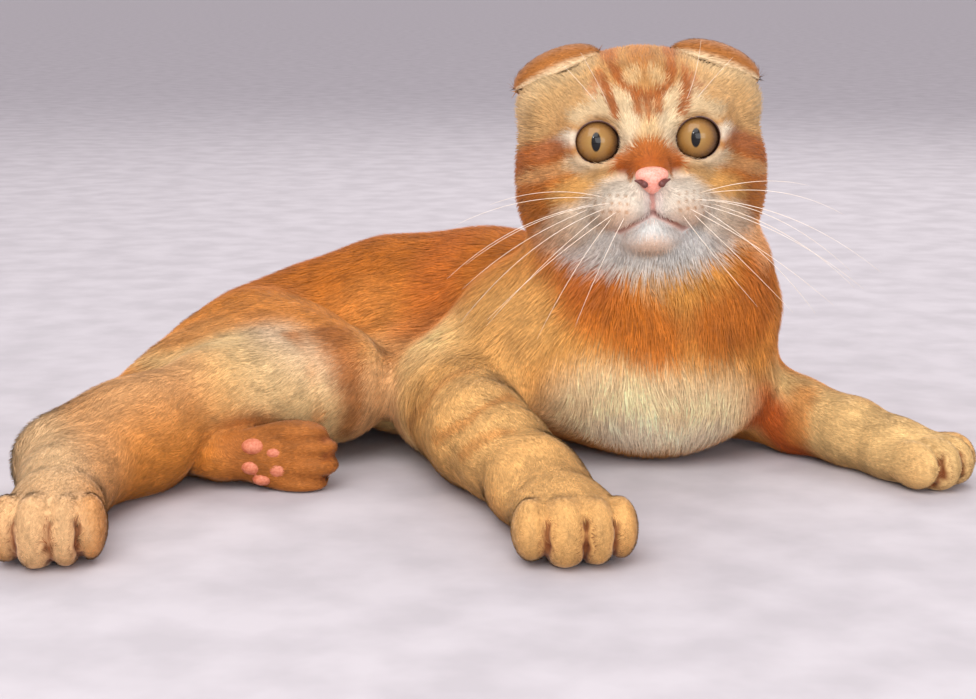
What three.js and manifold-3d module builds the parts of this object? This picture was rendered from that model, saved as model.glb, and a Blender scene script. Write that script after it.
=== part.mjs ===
// A young Scottish fold cat, life size, lying with its chest upright, its hips rolled over
// and its face turned to the viewer. Millimetres, +Z up, floor at Z = 0.
// The origin is on the floor under the chest. The viewer looks along +Y, and the cat's
// rump is at -X. Right and left in the names are the cat's own.
//
// The body is one soft field: each muscle, bone end and pad is an ellipsoid or a tapered
// limb, and neighbours melt together over a named width. The field is turned into closed
// surfaces, and the surfaces are parted into head, neck, torso, legs and tail by thin cuts.
import * as THREE from "three";
import { mergeVertices } from "three/addons/utils/BufferGeometryUtils.js";
import Module from "manifold-3d";

const wasm = await Module();
wasm.setup();

// Driving dimensions, in millimetres
const GAP = 0.3; // between two nodes that touch
const SKULL_WIDTH = 95;
const SKULL_HEIGHT = 67;
const CHEEK_WIDTH = 102;
const EYE_RADIUS = 10.4;
const EYE_SPACING = 38;
const LID_OPENING = 17.2;
const EAR_LENGTH = 37; // along the fold
const EAR_REACH = 27; // from the root at the back to the edge of the flap
const EAR_WALL = 2.3;
const CHEST_RADIUS = 43; // at the withers and ribs
const BELLY_RADIUS = 41;
const PELVIS_RADIUS = 30;
const PAW_WIDTH = 40;
const TAIL_RADIUS = 13.5;

// Melting widths between neighbouring forms
const MELT_BODY = 16;
const MELT_LEG = 9;
const MELT_FACE = 7;
const MELT_TOE = 4;

// Mesh steps: how far apart the surface points of a node are
const STEP_BODY = 10.4;
const STEP_LEG = 8.4;
const STEP_PAW = 4.6;
const STEP_HEAD = 8.4;
const STEP_FACE = 3.65;

const v = (x, y, z) => new THREE.Vector3(x, y, z);
const degrees = THREE.MathUtils.degToRad;

// Landmarks of the pose
const HEAD_AT = v(-7.5, -2, 131);
const HEAD_TURN = new THREE.Euler(degrees(-4), degrees(-2.5), degrees(1));
const CHEST = v(2, 11, 41.2);
const WITHERS = v(-24, 46, 42);
const RIBS = v(-68, 77, 40.5);
const BELLY = v(-110, 86, 37.5);
const LOIN = v(-146, 82, 33);
const PELVIS = v(-172, 68, 29);
const RUMP = v(-188, 56, 25);
const SHOULDER_RIGHT = v(-48, 18, 48);
const ELBOW_RIGHT = v(-82, 2, 25);
const WRIST_RIGHT = v(-49, -92, 15);
const SHOULDER_LEFT = v(30, 42, 44);
const ELBOW_LEFT = v(38, 36, 20);
const WRIST_LEFT = v(80, -11, 13);
const HIP_RIGHT = v(-166, 46, 35);
const KNEE_RIGHT = v(-131, 4, 31);
const HOCK_RIGHT = v(-228, -67, 15);
const KNEE_LEFT = v(-134, 22, 13);
const HOCK_LEFT = v(-198, -22, 13);

// Soft field: signed distances in millimetres, negative inside

function melt(a, b, width) {
  const h = Math.max(width - Math.abs(a - b), 0) / width;
  return Math.min(a, b) - h * h * width * 0.25;
}

function carve(a, b, width) {
  return -melt(-a, b, width);
}

function ellipsoid(at, radii, turn = new THREE.Euler()) {
  const into = new THREE.Matrix4()
    .compose(at, new THREE.Quaternion().setFromEuler(turn), v(1, 1, 1))
    .invert().elements;
  const [rx, ry, rz] = radii;
  return (x, y, z) => {
    const px = (into[0] * x + into[4] * y + into[8] * z + into[12]) / rx;
    const py = (into[1] * x + into[5] * y + into[9] * z + into[13]) / ry;
    const pz = (into[2] * x + into[6] * y + into[10] * z + into[14]) / rz;
    const near = Math.sqrt(px * px + py * py + pz * pz);
    const slope = Math.sqrt((px / rx) ** 2 + (py / ry) ** 2 + (pz / rz) ** 2);
    return (near * (near - 1)) / Math.max(slope, 1e-6);
  };
}

// A tapered limb between two points: the nearest point on its axis sets its radius.
function limb(from, to, radiusFrom, radiusTo) {
  const [ax, ay, az] = [to.x - from.x, to.y - from.y, to.z - from.z];
  const length2 = ax * ax + ay * ay + az * az;
  return (x, y, z) => {
    const [dx, dy, dz] = [x - from.x, y - from.y, z - from.z];
    const share = (dx * ax + dy * ay + dz * az) / length2;
    const s = Math.min(Math.max(share, 0), 1);
    const away = Math.hypot(dx - s * ax, dy - s * ay, dz - s * az);
    return away - (radiusFrom + s * (radiusTo - radiusFrom));
  };
}

function together(forms, width) {
  return (x, y, z) => {
    let d = forms[0](x, y, z);
    for (let i = 1; i < forms.length; i++) d = melt(d, forms[i](x, y, z), width);
    return d;
  };
}

function chain(stations, width = MELT_BODY) {
  const links = stations
    .slice(1)
    .map(([at, radius], i) => limb(stations[i][0], at, stations[i][1], radius));
  return together(links, width);
}

// Torso: rib cage, belly and rolled pelvis, with the full chest and the ruff of the neck
const torsoField = together(
  [
    chain([
      [CHEST, CHEST_RADIUS - 3],
      [WITHERS, CHEST_RADIUS],
      [RIBS, CHEST_RADIUS],
      [BELLY, BELLY_RADIUS],
      [LOIN, BELLY_RADIUS - 8],
      [PELVIS, PELVIS_RADIUS - 2],
      [RUMP, PELVIS_RADIUS - 8],
    ]),
    ellipsoid(v(2, 8, 62), [52, 39, 32]),
    ellipsoid(v(-1, 6, 32.8), [52, 31, 29.5]),
    ellipsoid(v(-40, -3, 42), [28, 25, 24]),
    ellipsoid(SHOULDER_RIGHT, [34, 29, 35]),
    ellipsoid(SHOULDER_LEFT, [25, 26, 30]),
    ellipsoid(v(-98, 38, 27), [38, 34, 26]),
  ],
  MELT_BODY,
);

const neckField = together(
  [limb(v(-2, 24, 68), v(-7, 8, 118), 46, 37), ellipsoid(v(-3, 2, 84), [50, 33, 26])],
  MELT_BODY,
);

// Head, in its own frame: x to the viewer's right, -y forwards, z up, eyes at z = 0
const BOTH = [-1, 1];
const skull = together(
  [
    ellipsoid(v(0, 6, 4), [SKULL_WIDTH / 2, 42, SKULL_HEIGHT / 2]),
    ellipsoid(v(0, -12, 14), [31, 25, 22]),
    limb(v(0, -28, 4), v(0, -40.5, -12), 12, 8),
    ellipsoid(v(0, -8, -34), [38, 27, 15]),
    ...BOTH.flatMap((side) => [
      ellipsoid(v(side * 27.5, -4, -11), [CHEEK_WIDTH / 2 - 27.5, 27, 24]),
      ellipsoid(v(side * 28, -2, -26), [21, 24, 18]),
      ellipsoid(v(side * 20, -22, -24), [17, 15, 13]),
      ellipsoid(v(side * 20, -25, 12), [14, 12, 8]),
      ellipsoid(v(side * 33, -6, 14.5), [16.5, 17, 14.5]),
    ]),
  ],
  9,
);
const muzzle = together(
  BOTH.map((side) => ellipsoid(v(side * 10, -37, -25), [12.5, 12.5, 9.5])),
  3,
);
const chin = ellipsoid(v(0, -33.5, -36.5), [12, 10, 8]);
const eyePlaces = BOTH.map((side) => v((side * EYE_SPACING) / 2, -29.5, 0));
const lids = eyePlaces.map((at) => ellipsoid(at, [13, 11.8, 12.6]));
const earPits = BOTH.map((side) => ellipsoid(v(side * 31, -2.5, 28.5), [12.5, 8, 6]));

function headLocal(x, y, z) {
  let d = melt(skull(x, y, z), muzzle(x, y, z), MELT_FACE);
  d = melt(d, chin(x, y, z), 5);
  for (const lid of lids) d = melt(d, lid(x, y, z), 8);
  for (const pit of earPits) d = carve(d, pit(x, y, z), 4);
  return d;
}

const headPlace = new THREE.Matrix4().compose(
  HEAD_AT,
  new THREE.Quaternion().setFromEuler(HEAD_TURN),
  v(1, 1, 1),
);

// The same field measured from another frame
function seenFrom(field, frame) {
  const m = frame.elements;
  return (x, y, z) =>
    field(
      m[0] * x + m[4] * y + m[8] * z + m[12],
      m[1] * x + m[5] * y + m[9] * z + m[13],
      m[2] * x + m[6] * y + m[10] * z + m[14],
    );
}

const headField = seenFrom(headLocal, headPlace.clone().invert());

// Each toe: its place across the paw, its half width and how far forward it stands
const TOES = [
  [-0.36, 0.145, 0.7],
  [-0.1, 0.18, 0.8],
  [0.17, 0.15, 0.79],
  [0.37, 0.14, 0.69],
];

// A paw: a pad of a body and four toes side by side. `along` points to the toes and `across`
// over the toes, so a paw that lies on its side only turns `across`.
function paw(wrist, along, across, width, length, radius, parting = 1.5) {
  const a = along.clone().normalize();
  const c = across.clone().addScaledVector(a, -across.dot(a)).normalize();
  const up = new THREE.Vector3().crossVectors(c, a);
  const turn = new THREE.Euler().setFromRotationMatrix(
    new THREE.Matrix4().makeBasis(c, a, up),
  );
  const place = (side, forward, high) =>
    wrist
      .clone()
      .addScaledVector(c, side)
      .addScaledVector(a, forward)
      .addScaledVector(up, high);
  const body = ellipsoid(
    place(0, length * 0.45, 0),
    [width * 0.45, length * 0.5, radius],
    turn,
  );
  const toes = TOES.map(([share, broad, forward]) =>
    ellipsoid(
      place(width * share, length * forward, -radius * 0.1),
      [width * broad, length * 0.25, radius * (0.55 + 2.2 * broad)],
      turn,
    ),
  );
  const ends = together(toes, parting);
  return (x, y, z) => melt(body(x, y, z), ends(x, y, z), MELT_TOE);
}

const FORE_PAW_LENGTH = 44;
const HIND_PAW_LENGTH = 46;

const foreRightField = together(
  [
    chain([
      [v(-60, 14, 38), 26],
      [ELBOW_RIGHT, 24],
      [v(-67, -46, 19), 18.5],
      [WRIST_RIGHT, 15.5],
      [v(-43, -112, 13), 14],
    ]),
    ellipsoid(v(-46, -100, 13.5), [19.5, 24, 13.5]),
    paw(
      v(-41, -109, 12.5),
      v(0.1, -1, -0.06),
      v(1, 0.1, 0),
      PAW_WIDTH + 3,
      FORE_PAW_LENGTH,
      12.5,
    ),
  ],
  10,
);

const foreLeftField = together(
  [
    chain([
      [SHOULDER_LEFT, 20],
      [ELBOW_LEFT, 17.5],
      [v(61, 12, 14), 14],
      [WRIST_LEFT, 13],
      [v(91, -25, 11.5), 11.5],
    ]),
    paw(
      v(88, -21, 11),
      v(0.6, -0.72, -0.05),
      v(0.77, 0.64, 0),
      PAW_WIDTH - 6,
      FORE_PAW_LENGTH - 4,
      11,
    ),
  ],
  8,
);

const hindRightField = together(
  [
    chain([
      [HIP_RIGHT, 27],
      [KNEE_RIGHT, 21],
      [v(-174, -26, 32), 16.5],
      [HOCK_RIGHT, 15.5],
      [v(-220, -96, 15), 15.5],
      [v(-217, -112, 14), 14],
    ]),
    limb(v(-188, 34, 30), HOCK_RIGHT, 22, 12),
    ellipsoid(v(-204, -47, 19), [22, 20, 20.5]),
    ellipsoid(v(-158, 26, 33), [36, 36, 25]),
    paw(
      v(-217, -108, 13),
      v(0.08, -1, -0.06),
      v(1, 0.08, 0),
      PAW_WIDTH - 1,
      HIND_PAW_LENGTH,
      13.5,
    ),
  ],
  MELT_LEG,
);

const hindLeftField = together(
  [
    chain([
      [KNEE_LEFT, 12],
      [v(-176, -2, 12), 12],
      [HOCK_LEFT, 12],
      [v(-170, -42, 12.5), 11],
    ]),
    paw(
      v(-168, -42, 13),
      v(1, -0.08, -0.02),
      v(0.04, 0.05, 1),
      PAW_WIDTH - 12,
      HIND_PAW_LENGTH - 4,
      10,
      3,
    ),
  ],
  5,
);

// The tail lies on the floor behind the cat. Only its root melts into the body.
const TAIL = [
  [v(-184, 66, 26), TAIL_RADIUS + 6],
  [v(-196, 102, 18), TAIL_RADIUS + 2],
  [v(-186, 138, 14.5), TAIL_RADIUS + 1],
  [v(-150, 160, 14), TAIL_RADIUS + 1],
  [v(-100, 164, 13.5), TAIL_RADIUS],
  [v(-56, 158, 12.5), TAIL_RADIUS - 1],
  [v(-34, 150, 11), TAIL_RADIUS - 3.5],
];
const tailField = chain(TAIL, MELT_LEG);

const tailRoot = chain(TAIL.slice(0, 2), MELT_LEG);
const frontBody = together([torsoField, neckField, foreRightField, foreLeftField], 12);

function trunkField(x, y, z) {
  const d = melt(frontBody(x, y, z), hindRightField(x, y, z), 8);
  return melt(d, tailRoot(x, y, z), 7);
}

function bodyField(x, y, z) {
  return melt(trunkField(x, y, z), headField(x, y, z), MELT_FACE);
}

// The places of a grid's planes along one axis, closer together from fineFrom to fineTo
function planes(from, to, step, fineFrom = to, fineTo = to, fineStep = step) {
  const places = [from];
  for (let p = from; p < to; ) {
    p += p > fineFrom - fineStep && p < fineTo ? fineStep : step;
    places.push(p);
  }
  return places;
}

// Turning a field into a closed surface: one point in each cell that the surface crosses,
// drawn onto the surface, and one four-sided face round each crossed edge of the grid.
// Where the field runs out of the grid, the grid's box closes it.
function netOf(wholeField, grid) {
  const [low, high] = [grid.map((g) => g[1]), grid.map((g) => g[g.length - 2])];
  const field = (x, y, z) =>
    Math.max(
      wholeField(x, y, z),
      low[0] - x,
      low[1] - y,
      low[2] - z,
      x - high[0],
      y - high[1],
      z - high[2],
    );
  const [nx, ny, nz] = grid.map((g) => g.length);
  const at = (i, j, k) => (k * ny + j) * nx + i;
  const value = new Float64Array(nx * ny * nz);
  for (let k = 0; k < nz; k++)
    for (let j = 0; j < ny; j++)
      for (let i = 0; i < nx; i++)
        value[at(i, j, k)] = field(grid[0][i], grid[1][j], grid[2][k]) || 1e-9;

  const points = [];
  const pointOf = new Map();
  for (let k = 0; k < nz - 1; k++)
    for (let j = 0; j < ny - 1; j++)
      for (let i = 0; i < nx - 1; i++) {
        const share = crossing(value, at, i, j, k);
        if (!share) continue;
        pointOf.set(at(i, j, k), points.length / 3);
        const cell = [i, j, k].map((n, axis) => grid[axis][n + 1] - grid[axis][n]);
        const start = [i, j, k].map((n, axis) => grid[axis][n] + share[axis] * cell[axis]);
        points.push(...drawnOnto(field, start, Math.min(...cell)));
      }

  const faces = [];
  const steps = [
    [1, 0, 0],
    [0, 1, 0],
    [0, 0, 1],
  ];
  const around = [
    [0, 0],
    [1, 0],
    [1, 1],
    [0, 1],
  ];
  for (let k = 1; k < nz - 1; k++)
    for (let j = 1; j < ny - 1; j++)
      for (let i = 1; i < nx - 1; i++)
        steps.forEach((d, axis) => {
          const here = value[at(i, j, k)] < 0;
          const there = value[at(i + d[0], j + d[1], k + d[2])] < 0;
          if (here === there) return;
          const [e, f] = [steps[(axis + 1) % 3], steps[(axis + 2) % 3]];
          const corner = ([a, b]) => [0, 1, 2].map((n) => -a * e[n] - b * f[n]);
          const ring = around
            .map(corner)
            .map((c) => pointOf.get(at(i + c[0], j + c[1], k + c[2])));
          faces.push(...splitFace(points, here ? ring : ring.reverse()));
        });
  const geometry = new THREE.BufferGeometry();
  geometry.setAttribute("position", new THREE.Float32BufferAttribute(points, 3));
  geometry.setIndex(faces);
  return geometry;
}

// The same surface over a grid that is shifted a little further in each round
function surfaceOf(field, grid, round, place = new THREE.Matrix4()) {
  const shifted = grid.map((g, axis) => {
    const shift = ([0.37, 0.61, 0.23][axis] * round * (g[1] - g[0])) / 7;
    return g.map((p) => p - shift);
  });
  return solidOf(netOf(field, shifted).applyMatrix4(place));
}

// An even grid over the box from low to high
function evenGrid(low, high, step) {
  return ["x", "y", "z"].map((k) => planes(low[k], high[k], step));
}

function crossing(value, at, i, j, k) {
  const sum = [0, 0, 0];
  let crossed = 0;
  for (let c = 0; c < 8; c++)
    for (let axis = 0; axis < 3; axis++) {
      const bit = 1 << axis;
      if (c & bit) continue;
      const corner = [c & 1, (c >> 1) & 1, (c >> 2) & 1];
      const far = corner.map((s, n) => (n === axis ? 1 : s));
      const a = value[at(i + corner[0], j + corner[1], k + corner[2])];
      const b = value[at(i + far[0], j + far[1], k + far[2])];
      if (a < 0 === b < 0) continue;
      const share = a / (a - b);
      corner.forEach((s, n) => (sum[n] += n === axis ? share : s));
      crossed++;
    }
  return crossed ? sum.map((s) => s / crossed) : null;
}

// Moves a point along the field's slope until it lies on the surface.
function drawnOnto(field, start, cell) {
  const e = 0.05;
  const most = cell * 0.25;
  const p = [...start];
  for (let round = 0; round < 2; round++) {
    const d = field(...p);
    const slope = [
      field(p[0] + e, p[1], p[2]) - d,
      field(p[0], p[1] + e, p[2]) - d,
      field(p[0], p[1], p[2] + e) - d,
    ].map((s) => s / e);
    const steep = Math.max(slope[0] ** 2 + slope[1] ** 2 + slope[2] ** 2, 0.2);
    const move = Math.min(Math.max(d / steep, -most), most);
    slope.forEach((s, n) => (p[n] -= move * s));
  }
  return p;
}

// Two triangles from a four-sided face, split along its shorter diagonal
function splitFace(points, [a, b, c, d]) {
  const apart = (m, n) =>
    Math.hypot(
      points[3 * m] - points[3 * n],
      points[3 * m + 1] - points[3 * n + 1],
      points[3 * m + 2] - points[3 * n + 2],
    );
  return apart(a, c) < apart(b, d) ? [a, b, c, a, c, d] : [a, b, d, b, c, d];
}

// Solids for cutting and joining

function solidOf(geometry) {
  const bare = geometry.clone();
  for (const name of ["normal", "uv"]) bare.deleteAttribute(name);
  const merged = mergeVertices(bare, 1e-4);
  return new wasm.Manifold(
    new wasm.Mesh({
      numProp: 3,
      vertProperties: new Float32Array(merged.attributes.position.array),
      triVerts: new Uint32Array(merged.index.array),
    }),
  );
}

// A cut leaves some points almost on top of each other: those nearer than SAME_POINT become
// one, and the faces that shrink to a line with them go.
const SAME_POINT = 0.02;

function geometryOf(solid) {
  const mesh = solid.getMesh();
  const cut = new THREE.BufferGeometry();
  const points = new THREE.Float32BufferAttribute(mesh.vertProperties, 3);
  cut.setAttribute("position", points);
  cut.setIndex(new THREE.BufferAttribute(mesh.triVerts, 1));
  const geometry = mergeVertices(cut, SAME_POINT);
  const index = geometry.index.array;
  const kept = [];
  for (let i = 0; i < index.length; i += 3) {
    const [a, b, c] = index.slice(i, i + 3);
    if (a !== b && b !== c && c !== a) kept.push(a, b, c);
  }
  geometry.setIndex(kept);
  geometry.computeVertexNormals();
  return geometry;
}

// Whether each edge has exactly one face on either side
function closesCleanly(geometry) {
  const index = geometry.index.array;
  const count = geometry.attributes.position.count;
  const edges = new Set();
  for (let i = 0; i < index.length; i += 3)
    for (let n = 0; n < 3; n++) {
      const edge = index[i + n] * count + index[i + ((n + 1) % 3)];
      if (edges.has(edge)) return false;
      edges.add(edge);
    }
  for (const edge of edges)
    if (!edges.has((edge % count) * count + Math.floor(edge / count))) return false;
  return true;
}

function largest(solid) {
  return solid
    .decompose()
    .reduce((best, s) => (s.volume() > best.volume() ? s : best));
}

// Each node is made by a function of the round. Where a cut happens to run along a face and
// leaves an edge with four sides, the next round tries again on a slightly shifted grid.
const ROUNDS = 12;
const made = {};

function node(name, make) {
  for (let round = 0; round < ROUNDS; round++) {
    try {
      const geometry = geometryOf(largest(make(round)));
      if (closesCleanly(geometry)) {
        made[name] = geometry;
        return;
      }
    } catch (error) {
      if (error.code !== "NotManifold") throw error;
    }
  }
  throw new Error(`${name} has an edge that more than two faces share`);
}

// A block whose near face is centred on `at` and that reaches `depth` along `along`
function block(at, along, width, height, depth, grow = 0) {
  const a = along.clone().normalize();
  const side = new THREE.Vector3().crossVectors(a, v(0, 0, 1)).normalize();
  const up = new THREE.Vector3().crossVectors(side, a);
  const box = new THREE.BoxGeometry(
    width + 2 * grow,
    depth + 2 * grow,
    height + 2 * grow,
  );
  const middle = at.clone().addScaledVector(a, depth / 2);
  box.applyMatrix4(
    new THREE.Matrix4().makeBasis(side, a, up).setPosition(middle),
  );
  return solidOf(box);
}

// The cuts that part the body: where each face lies, which way its limb goes, and how wide,
// high and deep the block behind that face is. The block takes its share out of the body.
const CUTS = {
  neck: { at: v(-5, 18, 78), along: v(0, -0.5, 0.87), size: [170, 130, 140] },
  head: { at: v(-6, 8, 89), along: v(0, -0.22, 0.97), size: [150, 140, 120] },
  foreleg_right: { at: v(-83, -33, 22), along: v(0.42, -0.91, 0), size: [60, 50, 150] },
  forepaw_right: { at: v(-43, -100, 15), along: v(0.12, -0.99, 0), size: [90, 70, 90] },
  foreleg_left: { at: v(57, 18, 12), along: v(0.62, -0.78, 0), size: [50, 46, 140] },
  forepaw_left: { at: v(84, -16, 12), along: v(0.6, -0.8, 0), size: [90, 70, 90] },
  thigh_right: { at: v(-172, 46, 34), along: v(-0.12, -0.99, 0), size: [124, 120, 230] },
  lower_leg_right: {
    at: v(-168, -12, 30),
    along: v(-0.85, -0.52, -0.03),
    size: [170, 120, 190],
  },
  hindpaw_right: { at: v(-218, -104, 15), along: v(0.08, -0.99, 0), size: [90, 70, 90] },
  tail_base: { at: v(-201, 101, 18), along: v(0, 1, 0), size: [50, 80, 100] },
  tail_end: { at: v(-140, 161, 14), along: v(1, 0.06, 0), size: [56, 80, 160] },
};

function blockOf(name, grow = 0, wider = 0) {
  const { at, along, size } = CUTS[name];
  return block(at, along, size[0] + wider, size[1], size[2], grow);
}

// The share of the body inside a node's own blocks and outside those of its neighbours,
// standing on the floor
function parted(whole, own, neighbours) {
  let solid = whole;
  for (const name of own) solid = solid.intersect(blockOf(name));
  for (const name of neighbours) solid = solid.subtract(blockOf(name, GAP));
  return solid.trimByPlane([0, 0, 1], 0);
}

// Torso, neck, thigh and lower leg are shares of one coarse surface
const bodyGrid = evenGrid(v(-268, -124, -16), v(94, 150, 112), STEP_BODY);
const wholeBody = [];

function shareOfBody(name, own, neighbours) {
  node(name, (round) => {
    wholeBody[round] ??= surfaceOf(bodyField, bodyGrid, round);
    return parted(wholeBody[round], own, neighbours);
  });
}

shareOfBody(
  "torso",
  [],
  ["neck", "foreleg_right", "foreleg_left", "thigh_right", "tail_base"],
);
shareOfBody("neck", ["neck"], ["head"]);
shareOfBody("thigh_right", ["thigh_right"], ["lower_leg_right"]);
shareOfBody("lower_leg_right", ["thigh_right", "lower_leg_right"], ["hindpaw_right"]);

// Forelegs and paws are netted more closely, each over its own box
function limbNode(name, low, high, step, neighbours) {
  const grid = evenGrid(low, high, step);
  node(name, (round) => parted(surfaceOf(bodyField, grid, round), [name], neighbours));
}

limbNode("foreleg_right", v(-130, -114, -10), v(-6, 20, 70), STEP_LEG, ["forepaw_right"]);
limbNode("foreleg_left", v(10, -48, -10), v(120, 64, 66), STEP_LEG, ["forepaw_left"]);
limbNode("forepaw_right", v(-90, -170, -8), v(14, -84, 44), STEP_PAW, []);
limbNode("forepaw_left", v(56, -84, -8), v(150, 16, 40), STEP_PAW, []);
limbNode("hindpaw_right", v(-256, -172, -8), v(-170, -84, 44), STEP_PAW, []);

const tailGrid = evenGrid(v(-236, 60, -12), v(0, 194, 56), STEP_LEG);
const tail = (round) => surfaceOf(tailField, tailGrid, round).trimByPlane([0, 0, 1], 0);
node("tail_base", (round) =>
  tail(round)
    .intersect(blockOf("tail_base", 0, 200))
    .subtract(blockOf("tail_end", GAP)),
);
node("tail_end", (round) => tail(round).intersect(blockOf("tail_end")));

// The folded left hind leg lies under the body and is cut clear of a slightly fuller one.
const overLeftLeg = surfaceOf((x, y, z) => bodyField(x, y, z) - 0.8, bodyGrid, 0);
const leftLegGrid = evenGrid(v(-230, -70, -8), v(-100, 60, 42), STEP_PAW * 1.3);
node("hindleg_left", (round) =>
  surfaceOf(hindLeftField, leftLegGrid, round)
    .trimByPlane([0, 0, 1], 0)
    .subtract(overLeftLeg),
);

// The head is netted in its own frame, closely over the face and loosely behind it.
const localBody = seenFrom(bodyField, headPlace);
const headGrid = [
  planes(-64, 64, STEP_HEAD, -33, 33, STEP_FACE),
  planes(-66, 66, STEP_HEAD, -66, -20, STEP_FACE * 1.1),
  planes(-70, 50, STEP_HEAD, -38, 15, STEP_FACE),
];

// Shapes that are made in the head's frame, joined to the head or cut out of it
const inHead = (geometry) => solidOf(geometry.applyMatrix4(headPlace));

function ball(at, radii, across = 20, down = 14) {
  return inHead(
    new THREE.SphereGeometry(1, across, down)
      .scale(radii[0], radii[1], radii[2])
      .translate(at.x, at.y, at.z),
  );
}

// A tube of even thickness through the given points, closed at both ends
function tube(points, radius, pieces) {
  const sides = 7;
  const curve = new THREE.CatmullRomCurve3(points);
  const open = new THREE.TubeGeometry(curve, pieces, radius, sides);
  const index = [...open.index.array];
  const places = [...open.attributes.position.array];
  for (const [end, at] of [
    [0, points[0]],
    [pieces, points[points.length - 1]],
  ]) {
    const middle = places.length / 3;
    places.push(at.x, at.y, at.z);
    for (let i = 0; i < sides; i++) {
      const a = end * (sides + 1) + i;
      index.push(...(end ? [middle, a + 1, a] : [middle, a, a + 1]));
    }
  }
  const closed = new THREE.BufferGeometry();
  closed.setAttribute("position", new THREE.Float32BufferAttribute(places, 3));
  closed.setIndex(index);
  return inHead(closed);
}

// A lid: a ring that lies on the eyeball, wider than high and drawn to a point at the nose
const LID_THICKNESS = 1.35;

function lidRing(at) {
  const side = Math.sign(at.x);
  const middle = LID_OPENING / 2 + LID_THICKNESS;
  const ring = new THREE.TorusGeometry(middle, LID_THICKNESS, 6, 26);
  const place = ring.attributes.position;
  const outside = EYE_RADIUS + LID_THICKNESS * 0.8;
  for (let i = 0; i < place.count; i++) {
    const [x, y, z] = [place.getX(i), place.getY(i), place.getZ(i)];
    const toNose = Math.max(-x * side, 0) / middle;
    const droop = -1.8 * toNose ** 4;
    const bend = Math.sqrt(Math.max(outside ** 2 - middle ** 2, 0));
    place.setXYZ(i, x * (1 + 0.12 * toNose ** 4), -bend + z, y + droop);
  }
  return inHead(ring.translate(at.x, at.y, at.z));
}

// Nose leather, with its nostrils, and the line of the mouth below it
function noseLeather(grow) {
  const leather = new THREE.SphereGeometry(1, 16, 10);
  const place = leather.attributes.position;
  for (let i = 0; i < place.count; i++) {
    const z = place.getZ(i);
    const taper = 0.75 + 0.36 * z;
    place.setX(i, place.getX(i) * taper * (7.6 + grow));
    place.setY(i, place.getY(i) * (0.9 + 0.1 * z) * (4.8 + grow));
    place.setZ(i, z * (5.2 + grow));
  }
  return inHead(leather.translate(0, -46.4, -14.8));
}

const nostril = (side) =>
  tube([v(side * 3.1, -52.6, -16.2), v(side * 4.8, -48.3, -15)], 1.3, 2);
node("nose", () => noseLeather(0).subtract(nostril(-1)).subtract(nostril(1)));
const MOUTH_WIDTH = 26;
const LINE_RADIUS = 1.15;

// The point of the face in front of x, z, and a little inside it
function onFace(x, z, inside) {
  let [outer, inner] = [-75, -20];
  while (inner - outer > 0.02) {
    const middle = (outer + inner) / 2;
    if (headLocal(x, middle, z) < 0) inner = middle;
    else outer = middle;
  }
  return v(x, outer + inside, z);
}

const lip = (share) => onFace((share * MOUTH_WIDTH) / 2, -27.5 - 7 * Math.abs(share), 0.3);
const halfMouth = (side) => tube([0.04, 0.4, 0.7, 1].map((s) => lip(s * side)), LINE_RADIUS, 6);
const lipGroove = tube([onFace(0, -18.5, 0.2), onFace(0, -28.4, 0.2)], LINE_RADIUS, 3);

node("head", (round) => {
  const whole = surfaceOf(localBody, headGrid, round, headPlace);
  let head = parted(whole, ["neck", "head"], []);
  for (const at of eyePlaces)
    head = head
      .subtract(ball(v(at.x, at.y - 14.5, at.z), [12, 12, 11.6]))
      .add(lidRing(at))
      .subtract(ball(at, Array(3).fill(EYE_RADIUS + GAP), 16, 11));
  return head
    .subtract(noseLeather(GAP))
    .subtract(halfMouth(-1))
    .subtract(halfMouth(1))
    .subtract(lipGroove);
});

// An ear: a sheet that rises from its root on the corner of the head, arches over in a low
// dome and folds down to a free edge in front, so that a cup stays open under it.
const EAR_AT = v(31.2, -0.5, 27.6);
const EAR_LEAN = degrees(21);
const EAR_RISE = 9.4;
const EAR_ROOT = degrees(-38);
const EAR_EDGE = degrees(170);
const EAR_ROWS = 11;
const EAR_COLUMNS = 9;

function earPoint(side, s, t, inset) {
  const along = -Math.cos(Math.PI * (0.07 + 0.86 * s));
  const round = Math.sqrt(1 - along * along) ** 0.75;
  const angle = EAR_ROOT + t * (EAR_EDGE - EAR_ROOT);
  const length = (EAR_LENGTH / 2 - inset * 0.5) * along;
  const rise = (EAR_RISE - inset) * round * Math.sin(angle);
  return v(
    side * (EAR_AT.x + length * Math.cos(EAR_LEAN) + rise * Math.sin(EAR_LEAN)),
    EAR_AT.y + (EAR_REACH / 2 - inset) * round * Math.cos(angle),
    EAR_AT.z - length * Math.sin(EAR_LEAN) + rise * Math.cos(EAR_LEAN),
  );
}

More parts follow.
